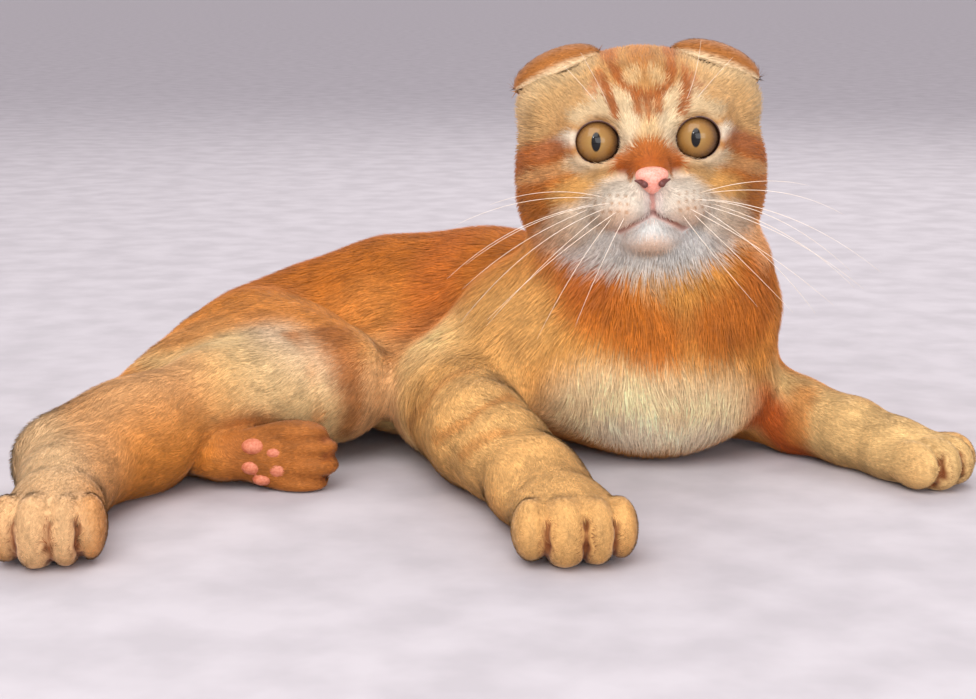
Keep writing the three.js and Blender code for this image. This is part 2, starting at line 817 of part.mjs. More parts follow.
function earSolid(side) {
  const sheet = (inset) =>
    Array.from({ length: EAR_ROWS * EAR_COLUMNS }, (_, n) => {
      const s = Math.floor(n / EAR_COLUMNS) / (EAR_ROWS - 1);
      const t = (n % EAR_COLUMNS) / (EAR_COLUMNS - 1);
      return earPoint(side, s, t, inset);
    });
  const points = [...sheet(0), ...sheet(EAR_WALL)].flatMap((p) => p.toArray());
  const shift = EAR_ROWS * EAR_COLUMNS;
  const faces = [];
  const face = (a, b, c, d) => faces.push(...(side < 0 ? [a, b, c, a, c, d] : [a, c, b, a, d, c]));
  const lastRow = (EAR_ROWS - 1) * EAR_COLUMNS;
  const lastColumn = EAR_COLUMNS - 1;
  for (let i = 0; i < EAR_ROWS - 1; i++) {
    const a = i * EAR_COLUMNS;
    for (let b = a; b < a + lastColumn; b++) {
      face(b, b + EAR_COLUMNS, b + EAR_COLUMNS + 1, b + 1);
      const c = b + shift;
      face(c, c + 1, c + EAR_COLUMNS + 1, c + EAR_COLUMNS);
    }
    face(a, a + shift, a + EAR_COLUMNS + shift, a + EAR_COLUMNS);
    const e = a + lastColumn;
    face(e, e + EAR_COLUMNS, e + EAR_COLUMNS + shift, e + shift);
  }
  for (let j = 0; j < lastColumn; j++) {
    face(j, j + 1, j + 1 + shift, j + shift);
    const e = lastRow + j;
    face(e, e + shift, e + 1 + shift, e + 1);
  }
  const geometry = new THREE.BufferGeometry();
  geometry.setAttribute("position", new THREE.Float32BufferAttribute(points, 3));
  geometry.setIndex(faces);
  return inHead(geometry);
}

// The ears are cut clear of a slightly fuller head, so that they meet it face to face.
const fullerHead = (round) =>
  surfaceOf((x, y, z) => localBody(x, y, z) - 0.8, headGrid, round, headPlace);
node("ear_right", (round) => earSolid(-1).subtract(fullerHead(round)));
node("ear_left", (round) => earSolid(1).subtract(fullerHead(round)));
node("eye_right", () => ball(eyePlaces[0], Array(3).fill(EYE_RADIUS), 16, 11));
node("eye_left", () => ball(eyePlaces[1], Array(3).fill(EYE_RADIUS), 16, 11));

// Materials
const furred = (color) => new THREE.MeshStandardMaterial({ color, roughness: 0.85 });
const MATERIALS = [
  ["eye", new THREE.MeshStandardMaterial({ color: 0xb8863c, roughness: 0.1 })],
  ["nose", new THREE.MeshStandardMaterial({ color: 0xf0937c, roughness: 0.5 })],
  ["paw", furred(0xe0a45c)],
  ["ear", furred(0xc97a35)],
  ["", furred(0xd18a45)],
];

const cat = new THREE.Group();
for (const [name, geometry] of Object.entries(made)) {
  const material = MATERIALS.find(([part]) => name.includes(part))[1];
  const mesh = new THREE.Mesh(geometry, material.clone());
  mesh.name = name;
  cat.add(mesh);
}

export default cat;
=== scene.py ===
# %% [markdown]
# # A young Scottish fold cat, lying down
# The cat lies with its chest upright, its hips rolled over and its face turned to the viewer.
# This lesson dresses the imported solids: one skin over the whole body, a coat of many thin
# tufts, eyes, nose leather, pads and whiskers. We start by loading the solids as a frame.
# Every length below is in millimetres until a mesh is handed to Blender, in metres.

# %% Load the frame
import math

import bpy
import numpy as np
from mathutils import Euler, Matrix


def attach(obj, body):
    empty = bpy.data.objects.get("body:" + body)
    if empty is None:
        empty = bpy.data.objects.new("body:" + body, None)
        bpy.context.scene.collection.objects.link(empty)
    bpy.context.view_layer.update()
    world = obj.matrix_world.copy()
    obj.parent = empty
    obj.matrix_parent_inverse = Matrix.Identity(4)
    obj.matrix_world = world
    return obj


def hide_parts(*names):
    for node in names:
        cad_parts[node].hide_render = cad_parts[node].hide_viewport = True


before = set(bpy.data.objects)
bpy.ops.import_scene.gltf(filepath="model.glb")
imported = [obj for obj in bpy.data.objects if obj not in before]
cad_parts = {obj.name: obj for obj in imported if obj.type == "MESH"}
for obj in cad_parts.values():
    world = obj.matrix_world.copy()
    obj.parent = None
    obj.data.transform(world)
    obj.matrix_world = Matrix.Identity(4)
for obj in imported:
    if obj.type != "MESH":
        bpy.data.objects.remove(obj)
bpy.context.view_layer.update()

MM = 0.001
chance = np.random.default_rng(20)

# %% [markdown]
# ## Camera
# A portrait lens at the height of a sitting person's hands looks slightly down. The pupils,
# the paws and the outline of the back fix its place: 0.74 m in front of the chest, with a
# focal length of 1860 pixels of a picture 976 pixels wide.

# %% Camera
IMAGE_WIDTH = 976
FOCAL_PIXELS = 1860
CAMERA_AT = (-67, -740, 189.7)
CAMERA_DOWN = 11


def add_camera():
    data = bpy.data.cameras.new("camera")
    data.sensor_width = 36
    data.lens = 36 * FOCAL_PIXELS / IMAGE_WIDTH
    data.clip_start = 0.01
    camera = bpy.data.objects.new("camera", data)
    camera.location = [c * MM for c in CAMERA_AT]
    camera.rotation_euler = (math.radians(90 - CAMERA_DOWN), 0, 0)
    bpy.context.scene.collection.objects.link(camera)
    bpy.context.scene.camera = camera
    print("lens", round(data.lens, 1), "mm")


add_camera()

# %% [markdown]
# ## Soft shapes
# Muscles, cheeks and toes have no edges, so they are awkward to model face by face. Instead
# the body is a field: a function that says how far a point is from the surface, negative
# inside. Ellipsoids and tapered limbs are easy fields, and `melt` joins two of them with a
# soft fillet. The whole cat is a few dozen of these, and one mesh is drawn over them later.
# Points are kept in arrays of three rows, x, y and z, because numpy is fastest that way.

# %% Fields
def melt(a, b, width):
    h = np.maximum(width - np.abs(a - b), 0) / width
    return np.minimum(a, b) - h * h * width * 0.25


def carve(a, b, width):
    return -melt(-a, b, width)


def ellipsoid(at, radii, axes=None):
    rows = (np.eye(3) if axes is None else axes).T / np.reshape(radii, (3, 1))
    shift = rows @ np.array(at, float)

    def field(p):
        x, y, z = (rows.astype(p.dtype) @ p) - shift.astype(p.dtype)[:, None]
        near = np.sqrt(x * x + y * y + z * z)
        slope = np.sqrt((x / radii[0]) ** 2 + (y / radii[1]) ** 2 + (z / radii[2]) ** 2)
        return near * (near - 1) / np.maximum(slope, 1e-6)

    return field


def limb(start, end, radius_start, radius_end):
    start = np.array(start, float)
    along = np.array(end, float) - start
    share = along / max(along @ along, 1e-9)

    def field(p):
        x, y, z = p[0] - start[0], p[1] - start[1], p[2] - start[2]
        s = np.clip(x * share[0] + y * share[1] + z * share[2], 0, 1)
        x, y, z = x - s * along[0], y - s * along[1], z - s * along[2]
        return np.sqrt(x * x + y * y + z * z) - (radius_start + s * (radius_end - radius_start))

    return field


def together(forms, width):
    def field(p):
        d = forms[0](p)
        for form in forms[1:]:
            d = melt(d, form(p), width)
        return d

    return field


def chain(stations, width=16):
    links = [
        limb(a, b, radius_a, radius_b)
        for (a, radius_a), (b, radius_b) in zip(stations, stations[1:])
    ]
    return together(links, width)


# %% [markdown]
# ## The pose
# The joints of the skeleton carry the pose. They follow those of the solids, but the legs
# join more tightly here, because every soft joint adds a little swelling, and some muscles
# are fuller. So the skin doesn't lie inside the solids everywhere: it stands out of them
# behind the left shoulder, at the thigh and at the hock. The spine runs from the chest at
# the origin to the rump at the left of the picture, and the hips are rolled over.

# %% Trunk
CHEST = (2, 11, 41.2)
SPINE = [
    (CHEST, 40),
    ((-24, 46, 42), 43),
    ((-68, 77, 40.5), 43),
    ((-110, 86, 37.5), 41),
    ((-146, 82, 33), 33),
    ((-172, 68, 29), 28),
    ((-188, 56, 25), 22),
]
torso_form = together(
    [
        chain(SPINE),
        ellipsoid((2, 8, 62), (52, 39, 32)),
        ellipsoid((-1, 6, 32.8), (52, 31, 29.5)),
        ellipsoid((-40, -3, 42), (28, 25, 24)),
        ellipsoid((-48, 18, 48), (34, 29, 35)),
        ellipsoid((30, 42, 44), (25, 26, 30)),
        ellipsoid((6, 60, 44), (38, 26, 37)),
        ellipsoid((-98, 38, 27), (38, 34, 26)),
    ],
    16,
)
neck_form = together(
    [limb((-2, 24, 68), (-7, 8, 118), 46, 37), ellipsoid((-3, 2, 84), (50, 33, 26))], 16
)

# %% [markdown]
# ## Paws
# A paw is an oval palm with four toes that stand out in front of it. In short fur the toes
# read as soft knuckles with a groove between them. Each groove is a line that follows the
# paw's own surface, found with rays from its middle. It is carved when the skin is drawn,
# and painted shade darkens it in the colour of the coat.

# %% Paws
# Each toe: its place across the paw, its half width and how far forward it stands
TOES = [(-0.36, 0.145, 0.7), (-0.1, 0.18, 0.8), (0.17, 0.15, 0.79), (0.37, 0.14, 0.69)]


def unit(vector):
    vector = np.array(vector, float)
    return vector / np.linalg.norm(vector)


# The grooves between the toes: their places across the paw, as shares of its width, and the
# angles over level at which rays from the middle of the paw meet them
GROOVES = (-0.235, 0.05, 0.275)
GROOVE_ANGLES = np.radians((95, 72, 50, 28, 4, -22))
GROOVE_WAYS = [(0, math.cos(turn), math.sin(turn)) for turn in GROOVE_ANGLES]
GROOVE_DEPTH = 0.6
GROOVE_RADIUS = 0.7
PAW_COAT = 0.6
groove_lines = []


def under_surface(form, start, way, inside):
    """The place that lies that far behind the skin, on the way out from the start."""
    inner, outer = 0.0, 60.0
    for _ in range(24):
        middle = (inner + outer) / 2
        if form((start + middle * way)[:, None])[0] < -PAW_COAT:
            inner = middle
        else:
            outer = middle
    return start + (inner - inside) * way


def paw(wrist, along, across, width, length, radius, parting=1.5):
    a = unit(along)
    c = unit(np.array(across) - np.dot(across, a) * a)
    axes = np.stack([c, a, np.cross(c, a)], 1)

    def place(side, forward, high):
        return np.array(wrist) + axes @ np.array([side, forward, high])

    body = ellipsoid(
        place(0, length * 0.45, 0), (width * 0.45, length * 0.5, radius), axes
    )
    toes = together(
        [
            ellipsoid(
                place(width * share, length * forward, -radius * 0.1),
                (width * broad, length * 0.25, radius * (0.55 + 2.2 * broad)),
                axes,
            )
            for share, broad, forward in TOES
        ],
        parting,
    )

    def whole(p):
        return melt(body(p), toes(p), 6)

    for share in GROOVES:
        start = place(width * share, length * 0.55, 0)
        line = [under_surface(whole, start, axes @ way, GROOVE_DEPTH) for way in GROOVE_WAYS]
        groove_lines.append(
            [limb(a, b, GROOVE_RADIUS, GROOVE_RADIUS) for a, b in zip(line, line[1:])]
        )
    return whole

# %% [markdown]
# ## Legs and tail
# Each leg is a chain of tapered limbs, with a place and a radius for each joint, and a few
# ellipsoids for the muscles of the thigh, the hock and the heel of the paw. The folded left
# hind leg is mostly hidden, so its foot with the sole towards the viewer is the part that
# counts.

# %% Legs and tail
FORE_RIGHT = [
    ((-60, 14, 38), 28),
    ((-82, 2, 26), 26),
    ((-70, -47, 21.5), 21),
    ((-61, -66, 19), 18.4),
    ((-50, -90, 16), 15.8),
    ((-43, -112, 12), 11.5),
]
FORE_LEFT = [
    ((30, 42, 44), 22),
    ((38, 36, 21), 19.5),
    ((61, 12, 16), 16),
    ((80, -11, 14), 14),
    ((91, -25, 12), 11.8),
]
HIND_RIGHT = [
    ((-166, 46, 35), 30),
    ((-131, 4, 31), 24),
    ((-174, -26, 32), 19.5),
    ((-226, -66, 17), 17),
    ((-220, -96, 13.5), 13.5),
    ((-217, -112, 12), 11.5),
]
HIND_LEFT = [
    ((-134, 22, 13), 12),
    ((-176, -2, 12), 12),
    ((-198, -22, 13), 12),
    ((-170, -42, 12.5), 11),
]
TAIL = [
    ((-184, 66, 26), 19.5),
    ((-196, 102, 18), 15.5),
    ((-186, 138, 14.5), 14.5),
    ((-150, 160, 14), 14.5),
    ((-100, 164, 13.5), 13.5),
    ((-56, 158, 12.5), 12.5),
    ((-34, 150, 11), 10),
]
fore_right = together(
    [
        chain(FORE_RIGHT, 5),
        ellipsoid((-47, -96, 11), (18.5, 26, 10)),
        paw((-41, -109, 12.5), (0.1, -1, -0.06), (1, 0.1, 0), 43, 44, 12.5),
    ],
    12,
)
fore_left = together(
    [chain(FORE_LEFT, 5), paw((88, -21, 11), (0.6, -0.72, -0.05), (0.77, 0.64, 0), 34, 40, 11)],
    12,
)
hind_right = together(
    [
        chain(HIND_RIGHT, 6),
        limb((-188, 34, 30), (-228, -67, 15), 22, 12),
        ellipsoid((-204, -47, 19), (22, 20, 20.5)),
        limb((-200, -50, 20), (-218, -98, 13), 16, 11),
        ellipsoid((-176, 6, 33), (28, 26, 19)),
        ellipsoid((-158, 26, 33), (36, 36, 25)),
        paw((-217, -108, 13), (0.08, -1, -0.06), (1, 0.08, 0), 39, 46, 13.5),
    ],
    15,
)
hind_left = together(
    [chain(HIND_LEFT), paw((-168, -42, 13), (1, -0.08, -0.02), (0.04, 0.05, 1), 28, 42, 10, 3)],
    5,
)
tail_form = chain(TAIL, 9)
print("groove lines between toes:", len(groove_lines))
tail_root = chain(TAIL[:2], 9)
front_form = together([torso_form, neck_form, fore_right, fore_left], 12)


def trunk_form(p):
    d = melt(front_form(p), hind_right(p), 8)
    return melt(d, tail_root(p), 7)


# %% [markdown]
# ## The head
# The head has a frame of its own: x to the viewer's right, -y forwards, z up, with the eyes
# at z = 0. Working in that frame keeps the two halves mirror images, whatever the pose does.
# A Scottish fold's head is a ball: a domed skull, full cheeks, a short nose and two round
# whisker pads over a small chin.

# %% Head
HEAD_AT = np.array([-7.5, -2, 131])
HEAD_TURN = np.array(
    Euler([math.radians(d) for d in (-4, 0, 0)]).to_matrix()
    @ Euler([math.radians(d) for d in (0, -2.5, 0)]).to_matrix()
    @ Euler([math.radians(d) for d in (0, 0, 1)]).to_matrix()
)


def to_head(p):
    return HEAD_TURN.T.astype(p.dtype) @ (p - HEAD_AT[:, None].astype(p.dtype))


def from_head(q):
    return HEAD_TURN @ np.asarray(q) + HEAD_AT[:, None]


skull_forms = [
    ellipsoid((0, 6, 4), (47.5, 42, 33.5)),
    ellipsoid((0, -12, 14), (31, 25, 22)),
    limb((0, -28, 4), (0, -40.5, -12), 12, 8),
    ellipsoid((0, -8, -34), (38, 27, 15)),
]
for side in (-1, 1):
    skull_forms += [
        ellipsoid((side * 27.5, -4, -11), (23.5, 27, 24)),
        ellipsoid((side * 28, -2, -26), (21, 24, 18)),
        ellipsoid((side * 20, -22, -24), (17, 15, 13)),
        ellipsoid((side * 20, -25, 12), (14, 12, 8)),
        ellipsoid((side * 33, -6, 14.5), (16.5, 17, 14.5)),
    ]
skull = together(skull_forms, 9)
muzzle = together([ellipsoid((s * 10, -37, -25), (12.5, 12.5, 9.5)) for s in (-1, 1)], 3)
chin = ellipsoid((0, -33.5, -36.5), (12, 10, 8))
EYES = [np.array([side * 19, -29.5, 0]) for side in (-1, 1)]
EYE_RADIUS = 10.4
print("skull forms:", len(skull_forms), "eyes", 2 * EYE_RADIUS, "mm across")
lid_mounds = [ellipsoid(at, (13, 11.8, 12.6)) for at in EYES]
ear_pits = [ellipsoid((side * 31, -1.5, 28.5), (11, 7, 4.5)) for side in (-1, 1)]


def head_form(q):
    d = melt(skull(q), muzzle(q), 7)
    d = melt(d, chin(q), 5)
    for mound in lid_mounds:
        d = melt(d, mound(q), 8)
    for pit in ear_pits:
        d = carve(d, pit(q), 4)
    return d


# %% [markdown]
# ## How deep the skin lies
# The forms above reach out to the tips of the coat, so the skin is drawn in from them by the
# coat's depth: half a millimetre at the lips and on the paws, a little over two on the back,
# and three in the ruff. `near` gives a soft share of 1 to 0 with the distance from a point
# or a line, and a short table of places sets each depth.

# %% Coat depth
def step_down(distance, inner, outer):
    t = np.clip((outer - distance) / (outer - inner), 0, 1)
    return t * t * (3 - 2 * t)


def near(p, start, end, inner, outer):
    """1 nearer than inner to the line from start to end, 0 beyond outer."""
    return step_down(limb(start, end, 0, 0)(p), inner, outer)


BODY_DEPTH = 2.2
DEPTHS = [
    # from, to, full within, ends at, depth
    ((4, -30, 52), (-4, -30, 88), 26, 60, 3.0),
    ((-66, -40, 18), (-41, -150, 12), 18, 50, 1.1),
    ((58, 14, 13), (112, -52, 9), 14, 42, 1.1),
    ((-150, 0, 40), (-214, -150, 13), 26, 56, 1.2),
    ((-176, -2, 12), (-120, -46, 13), 12, 34, 1.0),
    (TAIL[2][0], TAIL[6][0], 18, 40, 2.6),
    ((-44, -110, 12), (-38, -156, 12), 12, 48, 0.8),
    ((-41, -140, 12), (-38, -156, 12), 10, 34, 0.6),
    ((90, -24, 9), (114, -54, 8), 10, 36, 0.8),
    ((100, -40, 9), (114, -54, 8), 10, 26, 0.6),
    ((-218, -108, 13), (-213, -160, 13), 12, 48, 0.8),
    ((-215, -140, 13), (-213, -160, 13), 10, 34, 0.6),
    ((-156, -43, 13), (-124, -46, 13), 10, 26, 0.6),
]


# Where hairs are so short that the lips and the nose stay bare
MOUTH_AREAS = [
    ((0, -50, -16), (0, -50, -28)),
    ((0, -50, -28), (-13, -44, -34)),
    ((0, -50, -28), (13, -44, -34)),
]


def coat_depth(p, q):
    depth = np.full_like(p[0], BODY_DEPTH)
    for start, end, inner, outer, value in DEPTHS:
        depth += (value - depth) * near(p, start, end, inner, outer)
    # The face: thin at the nose, deeper over the forehead and in the cheeks
    from_nose = np.sqrt((q[0] * 0.8) ** 2 + (q[1] + 44) ** 2 + (q[2] * 0.85 + 10) ** 2)
    face = 0.75 + 1.9 * (1 - step_down(from_nose, 16, 62))
    head = step_down(np.sqrt(q[0] ** 2 + (q[1] * 0.9) ** 2 + (q[2] * 1.1) ** 2), 50, 62)
    depth += (face - depth) * head
    for at in EYES:
        depth += (0.7 - depth) * near(q, at, at, 12, 24) * head
    for start, end in MOUTH_AREAS:
        depth += (0.55 - depth) * near(q, start, end, 2.5, 8) * head
    return depth


# %% [markdown]
# ## Lids and mouth
# Fine parts are cut into or added to the field after the skin is drawn in, because lips and
# lid margins carry no coat. The opening of the lids is a loop on the eyeball, almost round
# and drawn down to a point beside the nose. The mouth is a groove under the whisker pads.

# %% Face details
def lid_loop(side, count, radius, grow=0.0):
    """Points of the lid opening on a ball of that radius round the eye's centre."""
    turn = np.linspace(0, 2 * np.pi, count, endpoint=False)
    x, z = np.cos(turn), np.sin(turn)
    to_nose = np.clip(-x * side, 0, 1)
    wide = 8.35 + 1.9 * to_nose**6
    high = np.where(z > 0, 8.0, 8.15)
    x = x * (wide + grow)
    z = z * (high + grow) - 1.7 * to_nose**5
    y = -np.sqrt(np.maximum(radius**2 - x**2 - z**2, 1))
    return np.stack([x, y, z])


def distance_to(points, q, reach):
    """Least distance from each q to the points, worked out only within reach of them."""
    low, high = points.min(1) - reach, points.max(1) + reach
    d = np.full_like(q[0], 999)
    close = [(q[n] > low[n]) & (q[n] < high[n]) for n in range(3)]
    inside = np.flatnonzero(close[0] & close[1] & close[2])
    for part in np.array_split(inside, max(len(inside) // 8000, 1)):
        gaps = [np.subtract.outer(q[n, part], points[n].astype(q.dtype)) for n in range(3)]
        d[part] = np.sqrt((gaps[0] ** 2 + gaps[1] ** 2 + gaps[2] ** 2).min(1, initial=1e6))
    return d


LID_LINES = [
    at[:, None] + lid_loop(side, 110, EYE_RADIUS + 0.5, 0.75) for side, at in zip((-1, 1), EYES)
]
lid_funnels = [ellipsoid(at + (0, -14.2, 0), (10.6, 12.5, 10.2)) for at in EYES]
eye_sockets = [ellipsoid(at, (EYE_RADIUS + 0.15,) * 3) for at in EYES]

# %% [markdown]
# ## Nose and mouth
# The line of the mouth and the groove above it follow the surface of the face. Their shape
# is drawn across and up, and the third coordinate is found by bisection: half way between a
# place in front of the face and one inside it, again and again.

# %% Nose and mouth
NOSE_AT = np.array([0, -46.4, -14.8])


def on_face(x, z, inside=0.0):
    """The points of the face in front of each x, z, and a little inside it."""
    x, z = np.broadcast_arrays(np.asarray(x, float), np.asarray(z, float))
    outer, inner = np.full(x.shape, -75.0), np.full(x.shape, -15.0)
    for _ in range(22):
        middle = (outer + inner) / 2
        hit = head_form(np.stack([x, middle, z])) < 0
        inner = np.where(hit, middle, inner)
        outer = np.where(hit, outer, middle)
    return np.stack([x, outer + inside, z])


MOUTH_HALF = 13


def mouth_points(count):
    share = np.linspace(-1, 1, count)
    return share * MOUTH_HALF, -27.2 - 7.2 * np.abs(share) ** 1.15


mouth_line = on_face(*mouth_points(91), 1.4)
philtrum_line = on_face(np.zeros(25), np.linspace(-18.5, -27.4, 25), 0.9)
print("mouth line:", mouth_line.shape[1], "points, half width", MOUTH_HALF, "mm")

# %% [markdown]
# ## The form of the skin
# The order of the steps matters. The parts are drawn in by the coat's depth first, because
# the lid margins, the sockets and the lips that follow carry no coat and keep their true
# places.

# %% The form of the skin
def skin_head(q, depth):
    d = head_form(q) + depth
    for funnel in lid_funnels:
        d = carve(d, funnel(q), 2.5)
    for line in LID_LINES:
        d = melt(d, distance_to(line, q, 6.0) - 1.05, 1.6)
    for socket in eye_sockets:
        d = np.maximum(d, -socket(q))
    d = carve(d, distance_to(mouth_line, q, 6.0) - 0.75, 1.6)
    return carve(d, distance_to(philtrum_line, q, 6.0) - 0.45, 1.2)


def skin_form(p):
    q = to_head(p)
    depth = coat_depth(p, q)
    head = skin_head(q, depth)
    body = melt(trunk_form(p) + depth, head, 7)
    body = melt(body, tail_form(p) + depth, 1)
    body = melt(body, hind_left(p) + depth, 2)
    for line in groove_lines:
        for part in line:
            body = carve(body, part(p), 1.3)
    return np.maximum(body, 0.4 - p[2])


# %% [markdown]
# ## Drawing one skin over the field
# A field becomes a mesh with surface nets: every small cell of a grid that the surface
# crosses gets one point, and neighbouring points are joined by four-sided faces. The grid is
# fine over the face, where lids and lips need half a millimetre, and coarse over the body.
# Only cells near the surface are worked out, which keeps this to a few seconds. Afterwards
# each point slides along the field's slope until it lies exactly on the surface.

# %% Surface nets
def planes(low, high, zones):
    """Grid places from low to high. Each zone is (from, to, step); the last that fits wins."""
    places = [low]
    while places[-1] < high:
        step = [s for a, b, s in zones if a <= places[-1] < b][-1]
        places.append(places[-1] + step)
    return np.array(places)


def near_surface(field, grid, block=4):
    """Values of the field on the grid, worked out only in blocks near the surface."""
    starts = [np.arange(0, len(g) - 1, block) for g in grid]
    ends = [np.minimum(s + block, len(g) - 1) for s, g in zip(starts, grid)]
    middles = [(g[s] + g[e]) / 2 for s, e, g in zip(starts, ends, grid)]
    sizes = [g[e] - g[s] for s, e, g in zip(starts, ends, grid)]
    centre = np.stack(np.meshgrid(*middles, indexing="ij"))
    across = np.sqrt(sum(s**2 for s in np.meshgrid(*sizes, indexing="ij")))
    rough = field(centre.reshape(3, -1).astype(np.float32)).reshape(centre.shape[1:])
    picks = [np.minimum(np.arange(len(g)) // block, len(s) - 1) for g, s in zip(grid, starts)]
    value = np.where(rough[np.ix_(*picks)] < 0, -9, 9).astype(np.float32)
    cells = np.ix_(*[p[:-1] for p in picks])
    close = (np.abs(rough) < across * 0.75)[cells]
    full = np.zeros(value.shape, bool)
    for a, b, c in np.ndindex(2, 2, 2):
        nx, ny, nz = close.shape
        full[a : a + nx, b : b + ny, c : c + nz] |= close
    i, j, k = np.nonzero(full)
    print("grid", value.shape, "worked out", len(i))
    for part in np.array_split(np.arange(len(i)), len(i) // 100000 + 1):
        at = np.stack([grid[0][i[part]], grid[1][j[part]], grid[2][k[part]]])
        found = field(at.astype(np.float32))
        value[i[part], j[part], k[part]] = np.where(found == 0, 1e-6, found)
    return value

# %% [markdown]
# ## Points and faces
# A cell's point is the mean of the places where its edges cross the surface. Every edge
# that is crossed gives one face between the four cells round it, turned so that it looks
# out.

# %% Points and faces of the skin
def surface_nets(field, grid, rounds=3):
    value = near_surface(field, grid)
    inside = value < 0
    nx, ny, nz = value.shape
    corners = [(a, b, c) for a in (0, 1) for b in (0, 1) for c in (0, 1)]

    def corner(array, c):
        return array[c[0] : nx - 1 + c[0], c[1] : ny - 1 + c[1], c[2] : nz - 1 + c[2]]

    count = sum(corner(inside, c).astype(np.int8) for c in corners)
    i, j, k = np.nonzero((count > 0) & (count < 8))
    sums = np.zeros((3, len(i)))
    crossed = np.zeros(len(i))
    for c in corners:
        for axis in range(3):
            if c[axis]:
                continue
            far = tuple(1 if n == axis else c[n] for n in range(3))
            a = value[i + c[0], j + c[1], k + c[2]]
            b = value[i + far[0], j + far[1], k + far[2]]
            cut = (a < 0) != (b < 0)
            share = np.where(cut, a / np.where(cut, a - b, 1), 0)
            for n in range(3):
                sums[n] += np.where(cut, share if n == axis else c[n], 0)
            crossed += cut
    sums /= crossed
    low = np.stack([grid[0][i], grid[1][j], grid[2][k]])
    size = np.stack([np.diff(grid[0])[i], np.diff(grid[1])[j], np.diff(grid[2])[k]])
    points = low + sums * size
    number = np.full((nx - 1, ny - 1, nz - 1), -1, np.int64)
    number[i, j, k] = np.arange(len(i))
    faces = []
    for axis in range(3):
        e, f = (axis + 1) % 3, (axis + 2) % 3
        here = [slice(1, -1)] * 3
        there = list(here)
        there[axis] = slice(2, None)
        here_in, there_in = inside[tuple(here)], inside[tuple(there)]
        at = np.stack(np.nonzero(here_in != there_in), 1) + 1
        ring = []
        for a, b in ((0, 0), (1, 0), (1, 1), (0, 1)):
            cell = at.copy()
            cell[:, e] -= a
            cell[:, f] -= b
            ring.append(number[cell[:, 0], cell[:, 1], cell[:, 2]])
        ring = np.stack(ring, 1)
        out = here_in[tuple((at - 1).T)]
        faces.append(np.where(out[:, None], ring, ring[:, ::-1]))
    faces = np.concatenate(faces)
    faces = faces[(faces >= 0).all(1)]
    most = size.min(0) * 0.3
    for _ in range(rounds):
        d, slope = value_and_slope(field, points)
        steep = np.maximum((slope**2).sum(0), 0.2)
        points = points - np.clip(d / steep, -most, most) * slope
    return points, faces


def value_and_slope(field, p, e=0.05):
    d = field(p)
    slope = np.stack([field(p + e * step[:, None]) - d for step in np.eye(3)]) / e
    return d, slope


# %% [markdown]
# ## Meshes from arrays
# Faces and points go to Blender in whole arrays, which is hundreds of times faster than one
# by one. Each mesh also takes a tint per point, which its material reads as an attribute.

# %% Mesh helper
def linear(hexes):
    """sRGB hex colours, such as "c9782c", as linear values."""
    srgb = np.array([[int(h[i : i + 2], 16) / 255 for i in (0, 2, 4)] for h in hexes.split()])
    return np.where(srgb > 0.04045, ((srgb + 0.055) / 1.055) ** 2.4, srgb / 12.92).T


def add_mesh(name, points, faces, tint=None, spots=None, normals=None):
    """points in rows, in mm; tint and spots (the UV place) per point; normals per corner."""
    mesh = bpy.data.meshes.new(name)
    count, sides = faces.shape
    mesh.vertices.add(points.shape[1])
    mesh.vertices.foreach_set("co", (points.T * MM).astype(np.float32).ravel())
    mesh.loops.add(count * sides)
    mesh.loops.foreach_set("vertex_index", faces.astype(np.int32).ravel())
    mesh.polygons.add(count)
    mesh.polygons.foreach_set("loop_start", np.arange(0, count * sides, sides, dtype=np.int32))
    mesh.polygons.foreach_set("use_smooth", np.ones(count, bool))
    if tint is not None:
        data = mesh.attributes.new("tint", "FLOAT_COLOR", "POINT").data
        colour = np.concatenate([tint, np.ones((1, tint.shape[1]))]).T
        data.foreach_set("color", colour.astype(np.float32).ravel())
    if normals is not None:
        data = mesh.attributes.new("custom_normal", "FLOAT_VECTOR", "CORNER").data
        data.foreach_set("vector", normals.T.astype(np.float32).ravel())
    mesh.update(calc_edges=True)
    if spots is not None:
        layer = mesh.uv_layers.new(name="OFBake")
        layer.uv.foreach_set("vector", spots.T[faces.ravel()].astype(np.float32).ravel())
    piece = bpy.data.objects.new(name, mesh)
    bpy.context.scene.collection.objects.link(piece)
    return piece


# %% [markdown]
# ## Markings
# A ginger tabby's coat is one orange pigment, laid on thickly in some places and thinly in
# others. Blush, cream and white are painted here as soft strokes: each is a line in space
# with a colour that fades out from it. The skin and every tuft ask the same function for
# their colour, so that the pattern never slides. Strokes on the head use the head's frame.

